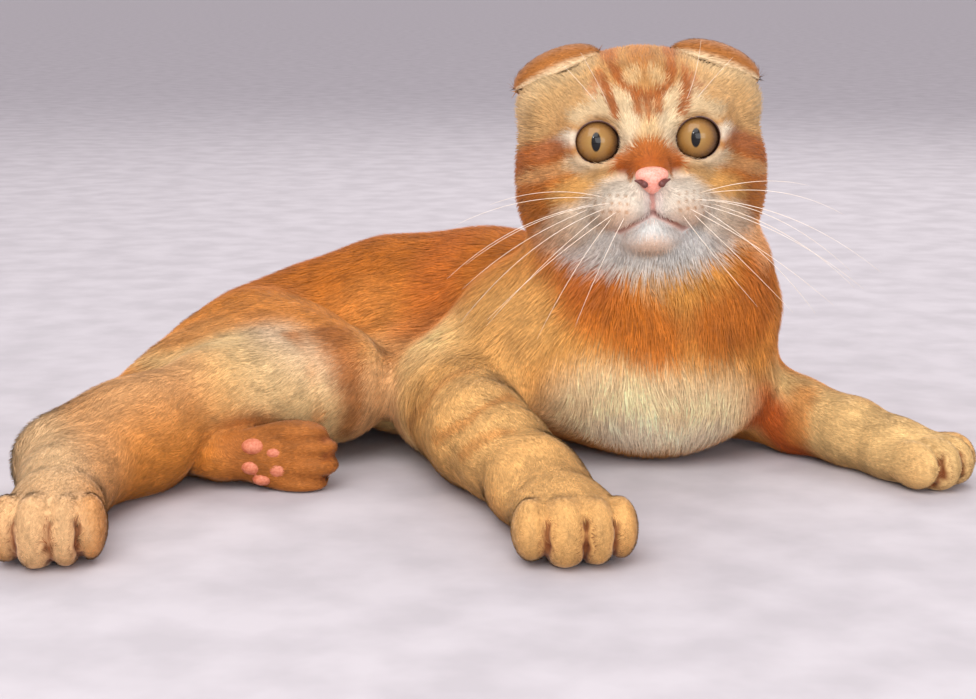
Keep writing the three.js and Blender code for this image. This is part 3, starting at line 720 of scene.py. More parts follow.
# %% Markings
TAIL_BARS = [
    (-196, 104, 18),
    (-177, 145, 14),
    (-140, 161, 14),
    (-104, 164, 13),
    (-68, 160, 12),
    (-38, 151, 11),
]
BODY_BASE, BODY_STROKES = "cc7f32", [
    # colour, strength, full within, ends at, points
    ("b76311", 0.85, 16, 60, (-60, 62, 92), (-110, 84, 84), (-160, 82, 66)),
    ("d9a35e", 0.85, 14, 46, (-62, -16, 60), (-92, -30, 36), (-72, -60, 30)),
    ("dfac6a", 0.9, 16, 34, (-66, -46, 24), (-44, -104, 20), (-39, -152, 14)),
    ("ffd391", 0.75, 10, 34, (-92, 8, 44), (-100, 6, 22), (-96, 2, 4)),
    ("b9611c", 0.85, 4, 20, (-79, 65, 82), (-86, 44, 66), (-92, 24, 56)),
    ("be6a22", 0.6, 3, 16, (-98, 26, 52), (-104, 8, 40), (-112, 0, 20)),
    ("e0c3a0", 0.9, 10, 32, (-160, -8, 46), (-150, -16, 40), (-138, -12, 30)),
    ("e0bb80", 0.85, 12, 30, (-186, 0, 50), (-168, -24, 36), (-136, -16, 18)),
    ("cf8238", 0.8, 8, 24, (-120, 40, 62), (-150, 26, 60), (-186, 10, 50)),
    ("d08a45", 0.6, 1.5, 6, (-170, 4, 50), (-156, -18, 40), (-150, -24, 26)),
    ("d08a45", 0.6, 1.5, 6, (-152, 6, 52), (-142, -12, 42), (-138, -20, 28)),
    ("98541a", 0.85, 2.5, 13, (-128, -4, 52), (-121, -14, 38), (-118, -12, 16)),
    ("c07434", 0.7, 1.5, 6, (-143, -6, 53), (-136, -18, 40), (-133, -20, 24)),
    # A paler streak down the front of the belly: painted light that lifts the shade there
    ("e8b078", 0.8, 5, 14, (-110, -6, 34), (-109, -4, 10)),
    ("d6a471", 0.7, 12, 34, (-196, -36, 38), (-226, -66, 28), (-220, -100, 20)),
    ("e2bd8d", 0.7, 10, 26, (-240, -66, 24), (-226, -110, 22), (-214, -150, 14)),
    ("ddb97d", 0.85, 10, 28, (50, -2, 26), (80, -22, 16), (116, -56, 9)),
    ("b44c04", 0.95, 4, 15, (42, -12, 30), (50, 0, 14), (58, 4, 6)),
    ("c47a34", 0.7, 2, 9, (60, 0, 30), (57, -6, 16), (52, -8, 6)),
    ("bd7430", 0.55, 1.3, 4.0, (-56, -50, 41), (-66, -62, 37), (-76, -68, 33), (-88, -58, 24)),
    ("bd7430", 0.5, 1.3, 4.0, (-60, -84, 34), (-66, -81, 32), (-79, -74, 21)),
    ("c58140", 0.5, 1.3, 5.0, (-74, -32, 46), (-84, -36, 42), (-91, -40, 34), (-100, -22, 22)),
    ("e0a34f", 0.5, 24, 60, (0, -34, 58), (0, -34, 44)),
    ("fbdba9", 0.95, 12, 32, (-22, -30, 28), (4, -36, 26), (26, -30, 24)),
    ("f0e0c8", 0.8, 8, 24, (-16, -30, 12), (6, -34, 8), (26, -26, 8)),
    ("c46917", 0.9, 8, 20, (-26, -28, 74), (-14, -34, 68), (-2, -36, 62)),
    ("b45f14", 0.9, 9, 22, (40, -16, 82), (38, -22, 70), (26, -30, 66)),
    ("fabc82", 0.8, 6, 16, (44, -2, 104), (40, -10, 96)),
    ("b96120", 0.3, 6, 16, (46, 0, 92), (40, -16, 84)),
    ("b86224", 0.8, 5, 18, (-36, -18, 92), (-26, -30, 82)),
    ("9f5b23", 0.85, 12, 22, (-158, -42, 13), (-122, -46, 13)),
    ("dfc09a", 0.8, 3, 14, (8, -34, 92), (-12, -34, 92), (-4, -38, 84)),
    ("c77a34", 0.8, 10, 22, (-196, 102, 30), (-150, 160, 28), (-40, 152, 20)),
    # The bars of a tabby on the far flank and round the tail, which the picture can't show
    *[("9c4f10", 0.75, 15.5, 19.5, at, at) for at in TAIL_BARS],
    ("a4560f", 0.8, 3, 10, (-40, 122, 66), (-90, 128, 62), (-138, 116, 52)),
    ("a4560f", 0.8, 3, 10, (-30, 120, 40), (-66, 126, 30), (-118, 128, 30), (-150, 112, 36)),
    ("a4560f", 0.7, 3, 10, (-80, 128, 48), (-104, 130, 46)),
    ("a4560f", 0.7, 4, 14, (-40, 70, 86), (-110, 90, 82), (-168, 82, 62)),
]
HEAD_BASE, HEAD_STROKES = "ca9153", [
    ("b96a26", 0.75, 20, 52, (-30, 30, 26), (0, 34, 30), (30, 30, 26)),
    ("e2b47a", 0.85, 10, 26, (-30, -20, 18), (-36, -14, 14)),
    ("e2b47a", 0.85, 10, 26, (30, -20, 18), (36, -14, 14)),
    ("e0c294", 0.7, 5, 16, (-26, -14, 28), (-38, -12, 22), (-47, -8, 12)),
    ("e0c294", 0.7, 5, 16, (26, -14, 28), (38, -12, 22), (47, -8, 12)),
]


def painted(p, base, strokes):
    colour = np.repeat(linear(base), p.shape[1], 1)
    for hexes, strength, inner, outer, *points in strokes:
        share = np.zeros_like(p[0])
        for a, b in zip(points, points[1:]):
            share = np.maximum(share, near(p, a, b, inner, outer))
        colour += (linear(hexes) - colour) * share * strength
    return colour

print("strokes:", len(BODY_STROKES), "on the body,", len(HEAD_STROKES), "on the head")

# %% [markdown]
# ## The mask of the face
# A tabby's forehead has an M, and dark bars run back from the eyes and along the cheeks.
# The muzzle and the chin are white, and rows of brown dots mark the roots of the whiskers.
# These marks are finer than those of the body, so they are drawn flat, as a viewer sees
# them, and fade out round the side of the head.

# %% The mask
# On the front of the head the strokes are drawn as on a sheet of paper, across and up.
# They are mirrored, because the mask of a tabby is much the same on both sides.
FACE_STROKES = [
    ("e9c593", 0.9, 2.5, 6.0, (0, 12), (0, 3)),
    ("ecd6b4", 0.85, 1.6, 5.5, (6.5, 6), (8, -3), (12, -9.5), (19, -11.5), (27, -8)),
    ("e8cfa6", 0.75, 1.2, 4.6, (7.5, 5), (12, 10.5), (19, 12.2), (26, 9.5)),
    ("f4e4cc", 0.95, 1.2, 4.2, (28, 2), (35, -2.2), (38, -3.8)),
    ("ecd0a6", 0.8, 2.0, 6.0, (9, 14), (17, 17)),
    ("b45f1e", 0.95, 2.6, 7.5, (34, -3.0), (43, -5.5), (52, -9)),
    ("c0691f", 0.9, 2.0, 6.5, (34, -12), (42, -17), (52, -18)),
    ("cc7a2c", 0.8, 2.0, 6.0, (28, -14), (34, -22), (44, -27)),
    ("dcae78", 0.5, 1.0, 4.0, (30, -9), (40, -12), (46, -13)),
    ("a8601c", 0.8, 4.0, 11.0, (33, -23), (43, -27)),
    ("dca45c", 0.8, 3.0, 8.0, (14, -14), (24, -17), (30, -20)),
    ("c0661f", 0.95, 2.2, 5.6, (0, -4.5), (4, -6.0), (9, -8.5)),
    ("b85c1a", 0.8, 1.2, 3.6, (0, -7.5), (7, -10), (10, -9.5)),
    ("ded4c9", 1.0, 7.0, 11.5, (5, -24), (10, -26), (14, -29)),
    ("eef1f0", 1.0, 8.0, 13.0, (0, -40), (12, -40), (22, -38)),
    ("ecdecd", 0.95, 4.0, 9.5, (10, -19), (18, -25), (30, -33)),
    ("f2d9bd", 0.8, 3.0, 8.0, (30, -28), (37, -36)),
    ("a9581c", 0.95, 0.9, 2.4, (14.4, 21), (13, 14), (11.2, 9)),
    ("ad5b1e", 0.9, 1.0, 2.8, (10.4, 26), (7.6, 20), (3.6, 15.5), (0, 14.6)),
    ("ad5b1e", 0.85, 0.7, 2.2, (3.8, 15), (3.2, 8.5)),
    ("a9581c", 0.8, 0.7, 2.2, (0, 15), (0, 7.5)),
    ("b2622a", 0.8, 1.6, 4.0, (11.5, 30), (12.5, 36)),
    ("c8803c", 0.75, 2.5, 7.0, (0, 36), (0, 28)),
    ("ecd0a6", 0.85, 0.7, 2.4, (6.4, 13.5), (8.2, 8.5)),
    ("e6bf8a", 0.8, 1.2, 3.6, (3.0, 24), (5.0, 21)),
    ("b9652a", 0.7, 0.8, 2.6, (19, 18), (15, 24)),
    ("ecdcd4", 0.9, 0.8, 2.4, (1.6, -20), (1.6, -27)),
    ("d9a59a", 0.9, 0.45, 1.3, (0, -19.5), (0, -27)),
]
LIP_TINTS = [
    (mouth_line, "e3c3bb", 1.2, 2.4),
    (mouth_line, "8d5a54", 0.6, 1.6),
    (philtrum_line, "d29a90", 0.5, 1.5),
]
WHISKER_ROWS = [(-20.2, 5, 10.0), (-23.2, 6, 9.5), (-26.2, 5, 10.0)]


def whisker_spots():
    spots = []
    for height, count, start in WHISKER_ROWS:
        for n in range(count):
            spots.append((start + 2.9 * n, height - 0.12 * n * n + 0.5 * n))
    return spots


def face_paint(q, colour):
    """The strokes of the mask, laid over the colour where the head faces the viewer."""
    x, z = np.abs(q[0]), q[2]
    flat = np.stack([x, np.zeros_like(x), z])
    front = np.clip((8 - q[1]) / 22, 0, 1)
    for hexes, strength, inner, outer, *points in FACE_STROKES:
        share = np.zeros_like(x)
        for (ax, az), (bx, bz) in zip(points, points[1:]):
            share = np.maximum(share, near(flat, (ax, 0, az), (bx, 0, bz), inner, outer))
        colour = colour + (linear(hexes) - colour) * share * strength * front
    for sx, sz in whisker_spots():
        gap = np.hypot(x - sx, z - sz)
        share = step_down(gap, 0.25, 1.15) * 0.62 * front
        colour = colour + (linear("a8703c") - colour) * share
    for line, hexes, inner, outer in LIP_TINTS:
        lips = step_down(distance_to(line, q, 4.0), inner, outer)
        colour = colour + (linear(hexes) - colour) * lips
    for line in LID_LINES:
        rim = step_down(distance_to(line, q, 4.0), 0.75, 1.7) * 0.8
        colour = colour + (linear("8a5a3c") - colour) * rim
    return colour

print("strokes of the mask:", len(FACE_STROKES), "dots:", len(whisker_spots()))

# %% [markdown]
# ## One colour for each place
# Skin and tufts ask this one function. It blends the head into the body below the jaw,
# darkens the grooves between the toes with painted shade, and adds slow clouds, because no
# real coat is even.

# %% One colour for each place
def waves(p, size, seed):
    """Smooth chance from -1 to 1 that changes over about that many millimetres."""
    turns = np.random.default_rng(seed)
    total = np.zeros_like(p[0])
    for _ in range(6):
        way = turns.normal(size=3)
        way *= 2 * np.pi / (size * turns.uniform(1.4, 3.0) * np.linalg.norm(way))
        total += np.sin(way[0] * p[0] + way[1] * p[1] + way[2] * p[2] + turns.uniform(0, 6.28))
    return total / 3.2


# The light falls more steeply on the face than on the back, so its pigment is drawn darker
HEAD_SHADE = [[0.8], [0.79], [0.76]]
# The dark of the grooves between the toes is painted shade
GROOVE_PAINTED_SHADE = "7a3d1c"


def coat_colour(p):
    q = to_head(p)
    body = painted(p, BODY_BASE, BODY_STROKES)
    head = face_paint(q, painted(q, HEAD_BASE, HEAD_STROKES))
    far = np.sqrt(q[0] ** 2 + (q[1] * 0.95) ** 2 + ((q[2] + 4) * 1.12) ** 2)
    share = step_down(far, 50, 60)
    head = head * np.array(HEAD_SHADE)
    colour = body + (head - body) * share
    # Painted shade: the grooves between the toes are darkened, as if shade fell into them
    for line in groove_lines:
        for part in line:
            groove_shade = step_down(part(p), 0.2, 2.1)
            colour = colour + (linear(GROOVE_PAINTED_SHADE) - colour) * groove_shade * 0.85
    cloud = 1 + 0.07 * waves(p, 9, 3) + 0.05 * waves(p, 24, 4)
    return np.clip(colour * cloud, 0.004, 0.95)


# %% [markdown]
# ## Materials
# Fur is keratin: each hair has a gloss of its own, but thousands that lie close scatter it
# until the coat looks dull and soft. So the base is rough, with very little gloss and a faint
# sheen, and its colour comes from the tint of the tuft with a fine grain. The close undercoat
# on the skin has the same tint, a little darker as painted shade under the tufts, and a
# little more sheen, which gives its edges a pale velvet rim. One function adds a node with
# its settings and links.

# %% Node helper and fur
def add_node(material, kind, settings=None, **links):
    """A node with values for its named inputs or properties; links give sockets to join."""
    node = material.node_tree.nodes.new(kind)
    for key, value in (settings or {}).items():
        if key in node.inputs:
            node.inputs[key].default_value = value
        else:
            setattr(node, key, value)
    for key, socket in links.items():
        material.node_tree.links.new(socket, node.inputs[key.replace("_", " ")])
    return node


def new_material(name, settings):
    """An empty material with one Principled shader, and that shader."""
    material = bpy.data.materials.new(name)
    material.use_nodes = True
    shader = material.node_tree.nodes["Principled BSDF"]
    for key, value in settings.items():
        shader.inputs[key].default_value = value
    return material, shader


def join(material, socket, shader, name):
    material.node_tree.links.new(socket, shader.inputs[name])


def fur_material(name, gloss, sheen, grain_mm):
    material, shader = new_material(
        name,
        {
            "Roughness": 0.62,
            "IOR": 1.55,
            "Specular IOR Level": gloss,
            "Sheen Weight": sheen,
            "Sheen Roughness": 0.4,
            "Sheen Tint": (1, 0.93, 0.84, 1),
        },
    )
    tint = add_node(material, "ShaderNodeAttribute", {"attribute_name": "tint"})
    place = add_node(material, "ShaderNodeTexCoord")
    grain = add_node(
        material,
        "ShaderNodeTexNoise",
        {"Scale": 1 / (grain_mm * MM), "Detail": 2.0},
        Vector=place.outputs["Object"],
    )
    bright = add_node(
        material,
        "ShaderNodeMapRange",
        {"From Min": 0.3, "From Max": 0.7, "To Min": 0.86, "To Max": 1.12},
        Value=grain.outputs["Fac"],
    )
    colour = add_node(
        material,
        "ShaderNodeVectorMath",
        {"operation": "SCALE"},
        Vector=tint.outputs["Color"],
        Scale=bright.outputs["Result"],
    )
    join(material, colour.outputs["Vector"], shader, "Base Color")
    return material


FUR = fur_material("ginger_tabby_fur", 0.06, 0.03, 1.6)
SKIN = fur_material("close_undercoat", 0.15, 0.2, 0.9)
print("coat materials:", FUR.name, SKIN.name)


# %% [markdown]
# ## Skin and ears
# The skin takes the place of all nodes of flesh at once, so no cut shows. An ear is a sheet
# of cartilage not two millimetres thick, too thin for the field's grid, so it is built as a
# sheet with rows and columns: up from its root, over in a low dome and down to a free edge.

# %% Skin and ears
SKIN_GRID = [
    planes(-252, 128, [(-300, 300, 2.2), (-62, 48, 1.1), (-38, 24, 0.7)]),
    planes(-162, 184, [(-300, 300, 2.2), (-54, 44, 1.3), (-58, -26, 0.7)]),
    planes(-3, 176, [(-300, 300, 2.2), (88, 176, 1.3), (94, 146, 0.7)]),
]
EAR_AT = (31.2, -0.5, 27.6)
EAR_LENGTH, EAR_REACH, EAR_RISE = 37, 27, 9.4
EAR_LEAN = math.radians(21)
EAR_ROOT, EAR_EDGE = math.radians(-38), math.radians(183)
EAR_ROWS, EAR_COLUMNS = 44, 32
# How far the outer and the inner side of the sheet lie within the coat's tips
EAR_OUTER, EAR_INNER = 0.6, 1.9


def ear_point(side, s, t, inset):
    along = -np.cos(np.pi * (0.035 + 0.93 * s))
    across = np.sqrt(1 - along * along)
    angle = EAR_ROOT + t * (EAR_EDGE - EAR_ROOT)
    length = (EAR_LENGTH / 2 - inset * 0.5) * along
    rise = (EAR_RISE - inset) * across * np.sin(angle)
    x = side * (EAR_AT[0] + length * math.cos(EAR_LEAN) + rise * math.sin(EAR_LEAN))
    y = EAR_AT[1] + (EAR_REACH / 2 - inset) * across * np.cos(angle)
    z = EAR_AT[2] - length * math.sin(EAR_LEAN) + rise * math.cos(EAR_LEAN)
    return np.stack([x, y, z])


def ear_places():
    """The shares s along the ear and t from its root to its edge, for all its points."""
    rows, columns = np.linspace(0, 1, EAR_ROWS), np.linspace(0, 1, EAR_COLUMNS)
    return [g.ravel() for g in np.meshgrid(rows, columns, indexing="ij")]


def ear_sheet(side):
    """Points and four-sided faces of one ear, closed round its rim, in the world's frame."""
    s, t = ear_places()
    sheets = [from_head(ear_point(side, s, t, inset)) for inset in (EAR_OUTER, EAR_INNER)]
    number = np.arange(len(s)).reshape(EAR_ROWS, EAR_COLUMNS)
    top = np.stack([number[:-1, :-1], number[1:, :-1], number[1:, 1:], number[:-1, 1:]], -1)
    under = top[..., ::-1] + len(s)
    loop = np.concatenate([number[0, :-1], number[:-1, -1], number[-1, :0:-1], number[:0:-1, 0]])
    after = np.roll(loop, -1)
    rim = np.stack([loop, after, after + len(s), loop + len(s)], -1)
    faces = np.concatenate([top.reshape(-1, 4), under.reshape(-1, 4), rim])
    if side > 0:
        faces = faces[:, ::-1]
    return np.concatenate(sheets, 1), faces


skin_points, skin_faces = surface_nets(skin_form, SKIN_GRID)
ears = [ear_sheet(side) for side in (-1, 1)]
all_points, all_faces = skin_points, skin_faces
for points, faces in ears:
    all_faces = np.concatenate([all_faces, faces + all_points.shape[1]])
    all_points = np.concatenate([all_points, points], 1)
print("skin:", all_points.shape[1], "points,", len(all_faces), "faces")


# %% [markdown]
# ## A flat map of the skin
# To bake colours, each surface needs a place on a flat sheet. Faces are sorted by the way
# they look, in six directions, and by the part of the body, and each group is laid flat side
# by side. A tuft has the map place of its own root, so it takes the colour that grows there.

# %% Map
PARTS = [
    ("head", (-7.5, -2, 131), (-7.5, -2, 131), 56),
    ("foreleg_right", FORE_RIGHT[1][0], (-38, -150, 10), 26),
    ("foreleg_left", (50, 16, 14), (116, -56, 8), 20),
    ("hindleg_right", (-190, -20, 26), (-214, -150, 12), 30),
    ("hindleg_left", HIND_LEFT[1][0], (-124, -46, 13), 15),
    ("tail", TAIL[2][0], TAIL[6][0], 24),
    ("trunk", (-24, 46, 42), (-160, 80, 36), 60),
]


def part_of(p):
    """The number of the body part that each point belongs to."""
    far = [limb(a, b, 0, 0)(p) - size for _, a, b, size in PARTS]
    return np.argmin(far, 0)


def side_of(normals):
    axis = np.abs(normals).argmax(0)
    return axis * 2 + (normals[axis, np.arange(normals.shape[1])] > 0)


class FlatMap:
    """Charts of the skin by part and side, laid in rows on a square of size 1."""

    def __init__(self, p, normals):
        group = part_of(p) * 6 + side_of(normals)
        charts = []
        for g in np.unique(group):
            low, high = self.lay(p[:, group == g], g % 6)
            charts.append((g, low - 2, high - low + 4))
        charts.sort(key=lambda c: -c[2][1])
        wide = math.sqrt(sum(c[2][0] * c[2][1] for c in charts)) * 1.12
        x = y = row = 0
        self.shift = {}
        for g, low, size in charts:
            if x + size[0] > wide:
                x, y, row = 0, y + row, 0
            self.shift[g] = (x - low[0], y - low[1])
            x, row = x + size[0], max(row, size[1])
        self.span = max(wide, y + row)
        print("map:", len(charts), "charts,", round(self.span), "mm across")

    def lay(self, p, side):
        flat = p[[n for n in range(3) if n != side // 2]]
        return flat.min(1), flat.max(1)

    def places(self, p, middles, normals):
        """Map places of p, in the charts that hold those middles and normals."""
        part, side = part_of(middles), side_of(normals)
        result = np.zeros((2, p.shape[1]))
        for g, shift in self.shift.items():
            chosen = (part == g // 6) & (side == g % 6)
            flat = p[[n for n in range(3) if n != (g % 6) // 2]][:, chosen]
            result[:, chosen] = (flat + np.array(shift)[:, None]) / self.span
        return np.clip(result, 0.002, 0.998)

# %% [markdown]
# ## The skin as a mesh
# The skin's faces get their places on the map, and the mesh is handed to Blender. It rides
# on the one body of the model and takes the place of every node of flesh.

# %% The skin as a mesh
def face_normals(p, faces):
    a, b, c = (p[:, faces[:, n]] for n in range(3))
    cross = np.cross((b - a).T, (c - a).T).T
    return cross / np.maximum(np.linalg.norm(cross, axis=0), 1e-9)


def point_normals(p, faces):
    total = np.zeros_like(p)
    flat = face_normals(p, faces)
    for n in range(faces.shape[1]):
        for axis in range(3):
            total[axis] += np.bincount(faces[:, n], flat[axis], p.shape[1])
    return total / np.maximum(np.linalg.norm(total, axis=0), 1e-9)


skin_normals = point_normals(all_points, all_faces)
middles = all_points[:, all_faces].mean(2)
flats = face_normals(all_points, all_faces)
flat_map = FlatMap(middles, flats)
skin = add_mesh("skin", all_points, all_faces, coat_colour(all_points))
corner_of = np.repeat(np.arange(len(all_faces)), 4)
corner_points = all_points[:, all_faces.ravel()]
skin_spots = flat_map.places(corner_points, middles[:, corner_of], flats[:, corner_of])
layer = skin.data.uv_layers.new(name="OFBake")
layer.uv.foreach_set("vector", skin_spots.T.astype(np.float32).ravel())
skin.data.materials.append(SKIN)
FLESH = [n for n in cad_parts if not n.startswith(("eye", "nose"))]
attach(skin, "root")
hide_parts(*FLESH)

# %% [markdown]
# ## The lie of the coat
# Fur never grows straight out. It leans back from the nose, over the head, down the chest
# and along the body to the tail and the toes. A few lines through the body give that flow,
# and each root follows the lines that are nearest to it.

# %% Flow
FLOWS = [
    ([(-7, 10, 122), (-30, 46, 78)], 30),
    ([(-5, -28, 96), (-3, -34, 60), (0, -30, 10)], 26),
    ([(-40, -10, 92), (-62, -4, 56), (-84, -20, 26)], 24),
    ([(38, 0, 92), (42, 4, 60), (44, 14, 20)], 24),
    ([p for p, _ in SPINE[1:]], 44),
    ([(-70, 30, 70), (-110, 30, 40), (-130, 20, 10)], 30),
    ([(-70, 10, 40), (-74, -30, 22), (-44, -98, 14), (-38, -158, 12)], 24),
    ([(38, 30, 24), (62, 11, 13), (90, -24, 9), (116, -56, 8)], 18),
    ([(-104, 56, 62), (-150, 10, 56), (-204, -20, 42)], 28),
    ([(-165, 40, 40), (-190, -30, 30), (-218, -70, 18), (-214, -154, 12)], 26),
    ([(-160, 0, 12), (-198, -22, 13), (-160, -42, 13), (-118, -46, 13)], 12),
    ([p for p, _ in TAIL], 18),
]
print("lines of flow:", len(FLOWS))


def flow(p):
    total = np.zeros_like(p)
    for line, reach in FLOWS:
        for a, b in zip(line, line[1:]):
            way = unit(np.subtract(b, a))[:, None]
            total += np.exp(-((limb(a, b, 0, 0)(p) / reach) ** 2)) * way
    q = to_head(p)
    away = q - np.array([[0], [-46], [-8]])
    away /= np.maximum(np.linalg.norm(away, axis=0), 1e-6)
    share = step_down(np.sqrt(q[0] ** 2 + q[1] ** 2 + q[2] ** 2), 50, 70)
    total += 6 * share * (HEAD_TURN @ away)
    return total


def across(vectors, normals):
    """The share of the vectors that lies along the surface, of length 1."""
    flat = vectors - (vectors * normals).sum(0) * normals
    return flat / np.maximum(np.linalg.norm(flat, axis=0), 1e-6)


# %% [markdown]
# ## Roots
# Hairs are far too many to model one by one, so each tuft stands for a few dozen. It is a
# solid spike with three sides, and it needs a root, a length, a lean and a width. All of
# them follow from the depth of the coat there: the ruff has the longest and widest tufts,
# and the short fur of the face and feet has fine ones that lie close.

# %% The coat of the ears
body_count = skin_points.shape[1]


def ear_values(side):
    """The way of the hair, the share t from root to edge, and 1 on the inner side."""
    s, t = ear_places()
    way = ear_point(side, s - 0.02, t + 0.01, 1) - ear_point(side, s + 0.02, t - 0.01, 1)
    way = HEAD_TURN @ (way / np.maximum(np.linalg.norm(way, axis=0), 1e-6))
    return np.tile(way, 2), np.tile(t, 2), np.repeat([0.0, 1.0], len(t)), np.tile(s, 2)


ear_data = [np.concatenate(parts, -1) for parts in zip(ear_values(-1), ear_values(1))]
ear_way, ear_t, ear_inner, ear_s = ear_data
EAR_TINTS = linear("a5652a bd8245 edcfa4 d9a985")


def ear_colour(t, inner, s):
    crest = EAR_TINTS[:, :1] + (EAR_TINTS[:, 1:2] - EAR_TINTS[:, :1]) * step_down(t, 0.2, 0.6)
    rim = step_down(1 - t, 0.02, 0.14)
    colour = crest + (EAR_TINTS[:, 2:3] - crest) * rim
    return colour + (EAR_TINTS[:, 3:4] - colour) * inner

# %% [markdown]
# ## Values of the coat
# Depth, lie and tint of the coat are worked out once for each point of the skin, and the
# roots between the points take them from there. The ears have a lie and tints of their own:
# dark on the back, with a pale rim at the free edge.

# %% Values of the coat on the skin
points_head = to_head(all_points)
coat_depths = coat_depth(all_points, points_head)
coat_depths[body_count:] = 0.9
lies = across(flow(all_points), skin_normals)
lies[:, body_count:] = across(ear_way, skin_normals[:, body_count:])
tints = coat_colour(all_points)
tints[:, body_count:] = ear_colour(ear_t, ear_inner, ear_s)
# The skin's tint is drawn 5 % darker than the coat's: painted shade, as it lies under the tufts
skin.data.attributes["tint"].data.foreach_set(
    "color",
    np.concatenate([tints * 0.95, np.ones((1, tints.shape[1]))]).T.astype(np.float32).ravel(),
)

# %% [markdown]
# ## Bare places
# Lids, lips, the nose and the bottoms of the toe grooves carry no coat, and none grows
# where the body lies on the floor.

# %% Bare places
def bare(p, q):
    """0 where no coat grows: in the lids, on the nose and lips, and flat on the floor."""
    free = np.ones_like(p[0])
    for line, at in zip(LID_LINES, EYES):
        free *= 1 - step_down(distance_to(line, q, 5.0), 1.25, 1.7)
        free *= 1 - near(q, at, at, EYE_RADIUS + 0.3, EYE_RADIUS + 0.5)
    free *= 1 - step_down(distance_to(mouth_line, q, 4.0), 1.5, 2.1)
    free *= 1 - step_down(distance_to(philtrum_line, q, 4.0), 0.9, 1.3)
    free *= nose_form(q) > 0.5
    for line in groove_lines:
        for part in line:
            free *= 1 - step_down(part(p), 0.2, 0.9)
    return free * (p[2] > 1.4)


def nose_form(q):
    z = np.clip((q[2] - NOSE_AT[2]) / 5.2, -1, 1)
    x = (q[0] - NOSE_AT[0]) / (7.6 * (0.75 + 0.36 * z))
    y = (q[1] - NOSE_AT[1]) / (4.8 * (0.9 + 0.1 * z))
    return (np.sqrt(x * x + y * y + ((q[2] - NOSE_AT[2]) / 5.2) ** 2) - 1) * 4.6

# %% [markdown]
# ## Sowing the roots
# The number of roots follows from the area and from the size of the tufts, so that each
# place is covered about four times over. That hides every gap and still leaves the coat
# under one and a half million triangles.

# %% Roots
def half_width(depth):
    return 0.2 + 0.045 * depth


def length_of(depth):
    return 2.2 + 2.6 * depth


LAYERS = 3.9
TUFT_HEIGHT = 0.8
ROUND = 0.5


def sow(points, faces, layers):
    """Random roots, so many that the tufts cover each place that many times over."""
    corners = np.concatenate([faces[:, [0, 1, 2]], faces[:, [0, 2, 3]]])
    a, b, c = (points[:, corners[:, n]] for n in range(3))
    area = np.linalg.norm(np.cross((b - a).T, (c - a).T), axis=1) / 2
    middle = (a + b + c) / 3
    depth = coat_depths[corners].mean(1)
    length = length_of(depth)
    free = bare(middle, to_head(middle))
    free = np.where(corners[:, 0] < body_count, free, 0.35 * free)
    each = layers * area * free / (half_width(depth) * length)
    count = np.floor(each + chance.random(len(each))).astype(int)
    triangle = np.repeat(np.arange(len(corners)), count)
    u, w = chance.random((2, len(triangle)))
    over = u + w > 1
    u[over], w[over] = 1 - u[over], 1 - w[over]
    print("skin area", round(area.sum()), "mm2, coat grows on", round((area * free).sum()))
    return corners[triangle], np.stack([1 - u - w, u, w])


corners, weights = sow(all_points, all_faces, LAYERS)


def at_roots(values):
    """Values of the skin's points, taken to the roots."""
    values = np.atleast_2d(values)
    return sum(values[:, corners[:, n]] * weights[n] for n in range(3))


roots = at_roots(all_points)
root_depth = at_roots(coat_depths)[0]
root_normal = across(at_roots(skin_normals), 0 * at_roots(skin_normals))
root_tint = coat_colour(roots)
on_ear = corners[:, 0] >= body_count
root_tint[:, on_ear] = at_roots(tints)[:, on_ear]
root_spots = flat_map.places(roots, roots, root_normal)
root_part = part_of(roots)
print("roots:", roots.shape[1], "of them on the ears", int(on_ear.sum()))


# %% [markdown]
# ## Tufts
# Neighbouring hairs cling together, so tips are drawn towards the middle of their lock, which
# is the nearest of many scattered points, and each lock is a little lighter or darker than
# the next. Slow waves turn the lie from place to place, and each tuft strays a few degrees.
# Tufts are straight and hug the skin: the tip is moved until it stands over the skin by its
# share of the coat's depth. The faces that look out are shaded mostly like the skin below,
# because light that enters a coat comes out again all around, which makes fur look soft.

# %% Locks
def lock_centres(p, size):
    """For each point the nearest of scattered places, one in each cube of that size."""
    cell = np.floor(p / size).astype(np.int64)
    best = np.full(p.shape[1], 1e9)
    centre = p.copy()
    for step in np.ndindex(3, 3, 3):
        here = cell + np.reshape(step, (3, 1)) - 1
        code = here[0] * 73856093 ^ here[1] * 19349663 ^ here[2] * 83492791
        stray = np.stack([(code * k >> 6) % 1024 / 1024 for k in (1, 31, 977)])
        place = (here + stray) * size
        gap = ((place - p) ** 2).sum(0)
        closer = gap < best
        best[closer] = gap[closer]
        centre[:, closer] = place[:, closer]
    return centre


def over_skin(at, height, n, free):
    """The points, moved until they stand that high over the skin, and the normals there."""
    gap, slope = value_and_slope(skin_form, at)
    slope = np.where(free, n, slope / np.maximum(np.linalg.norm(slope, axis=0), 0.5))
    step = np.where(free, height * 0.2, np.clip(height - gap, -6, 6))
    return at + step * slope, slope

# %% [markdown]
# ## One tuft
# A tuft is a flat spike with a foot of three corners, sunk into the skin, and a tip. The
# normals are given for each corner of each face, so that light slides over a tuft as it
# does over the skin, and only its underside turns away.

# %% One tuft
# Corners 0 to 2 are the foot and corner 3 is the tip. The first face closes the foot, the
# second looks down, and the last two look out.
TUFT_FACES = [(0, 2, 1), (2, 0, 3), (0, 1, 3), (1, 2, 3)]
TUFT_LOOKS_OUT = [False, False, True, True]
TUFT_RISE = 0.42
TUFT_SINK = 0.3
LOCK_SIZE = 4.75
LOCK_PULL = 0.42
STRAY = np.radians(9)
WAVE = np.radians(14)
# The pale colour mixed into the tips of the tufts as painted light
TIP_PAINTED_LIGHT = linear("f4dfc0")
PATCH_RADIUS = 0.0014


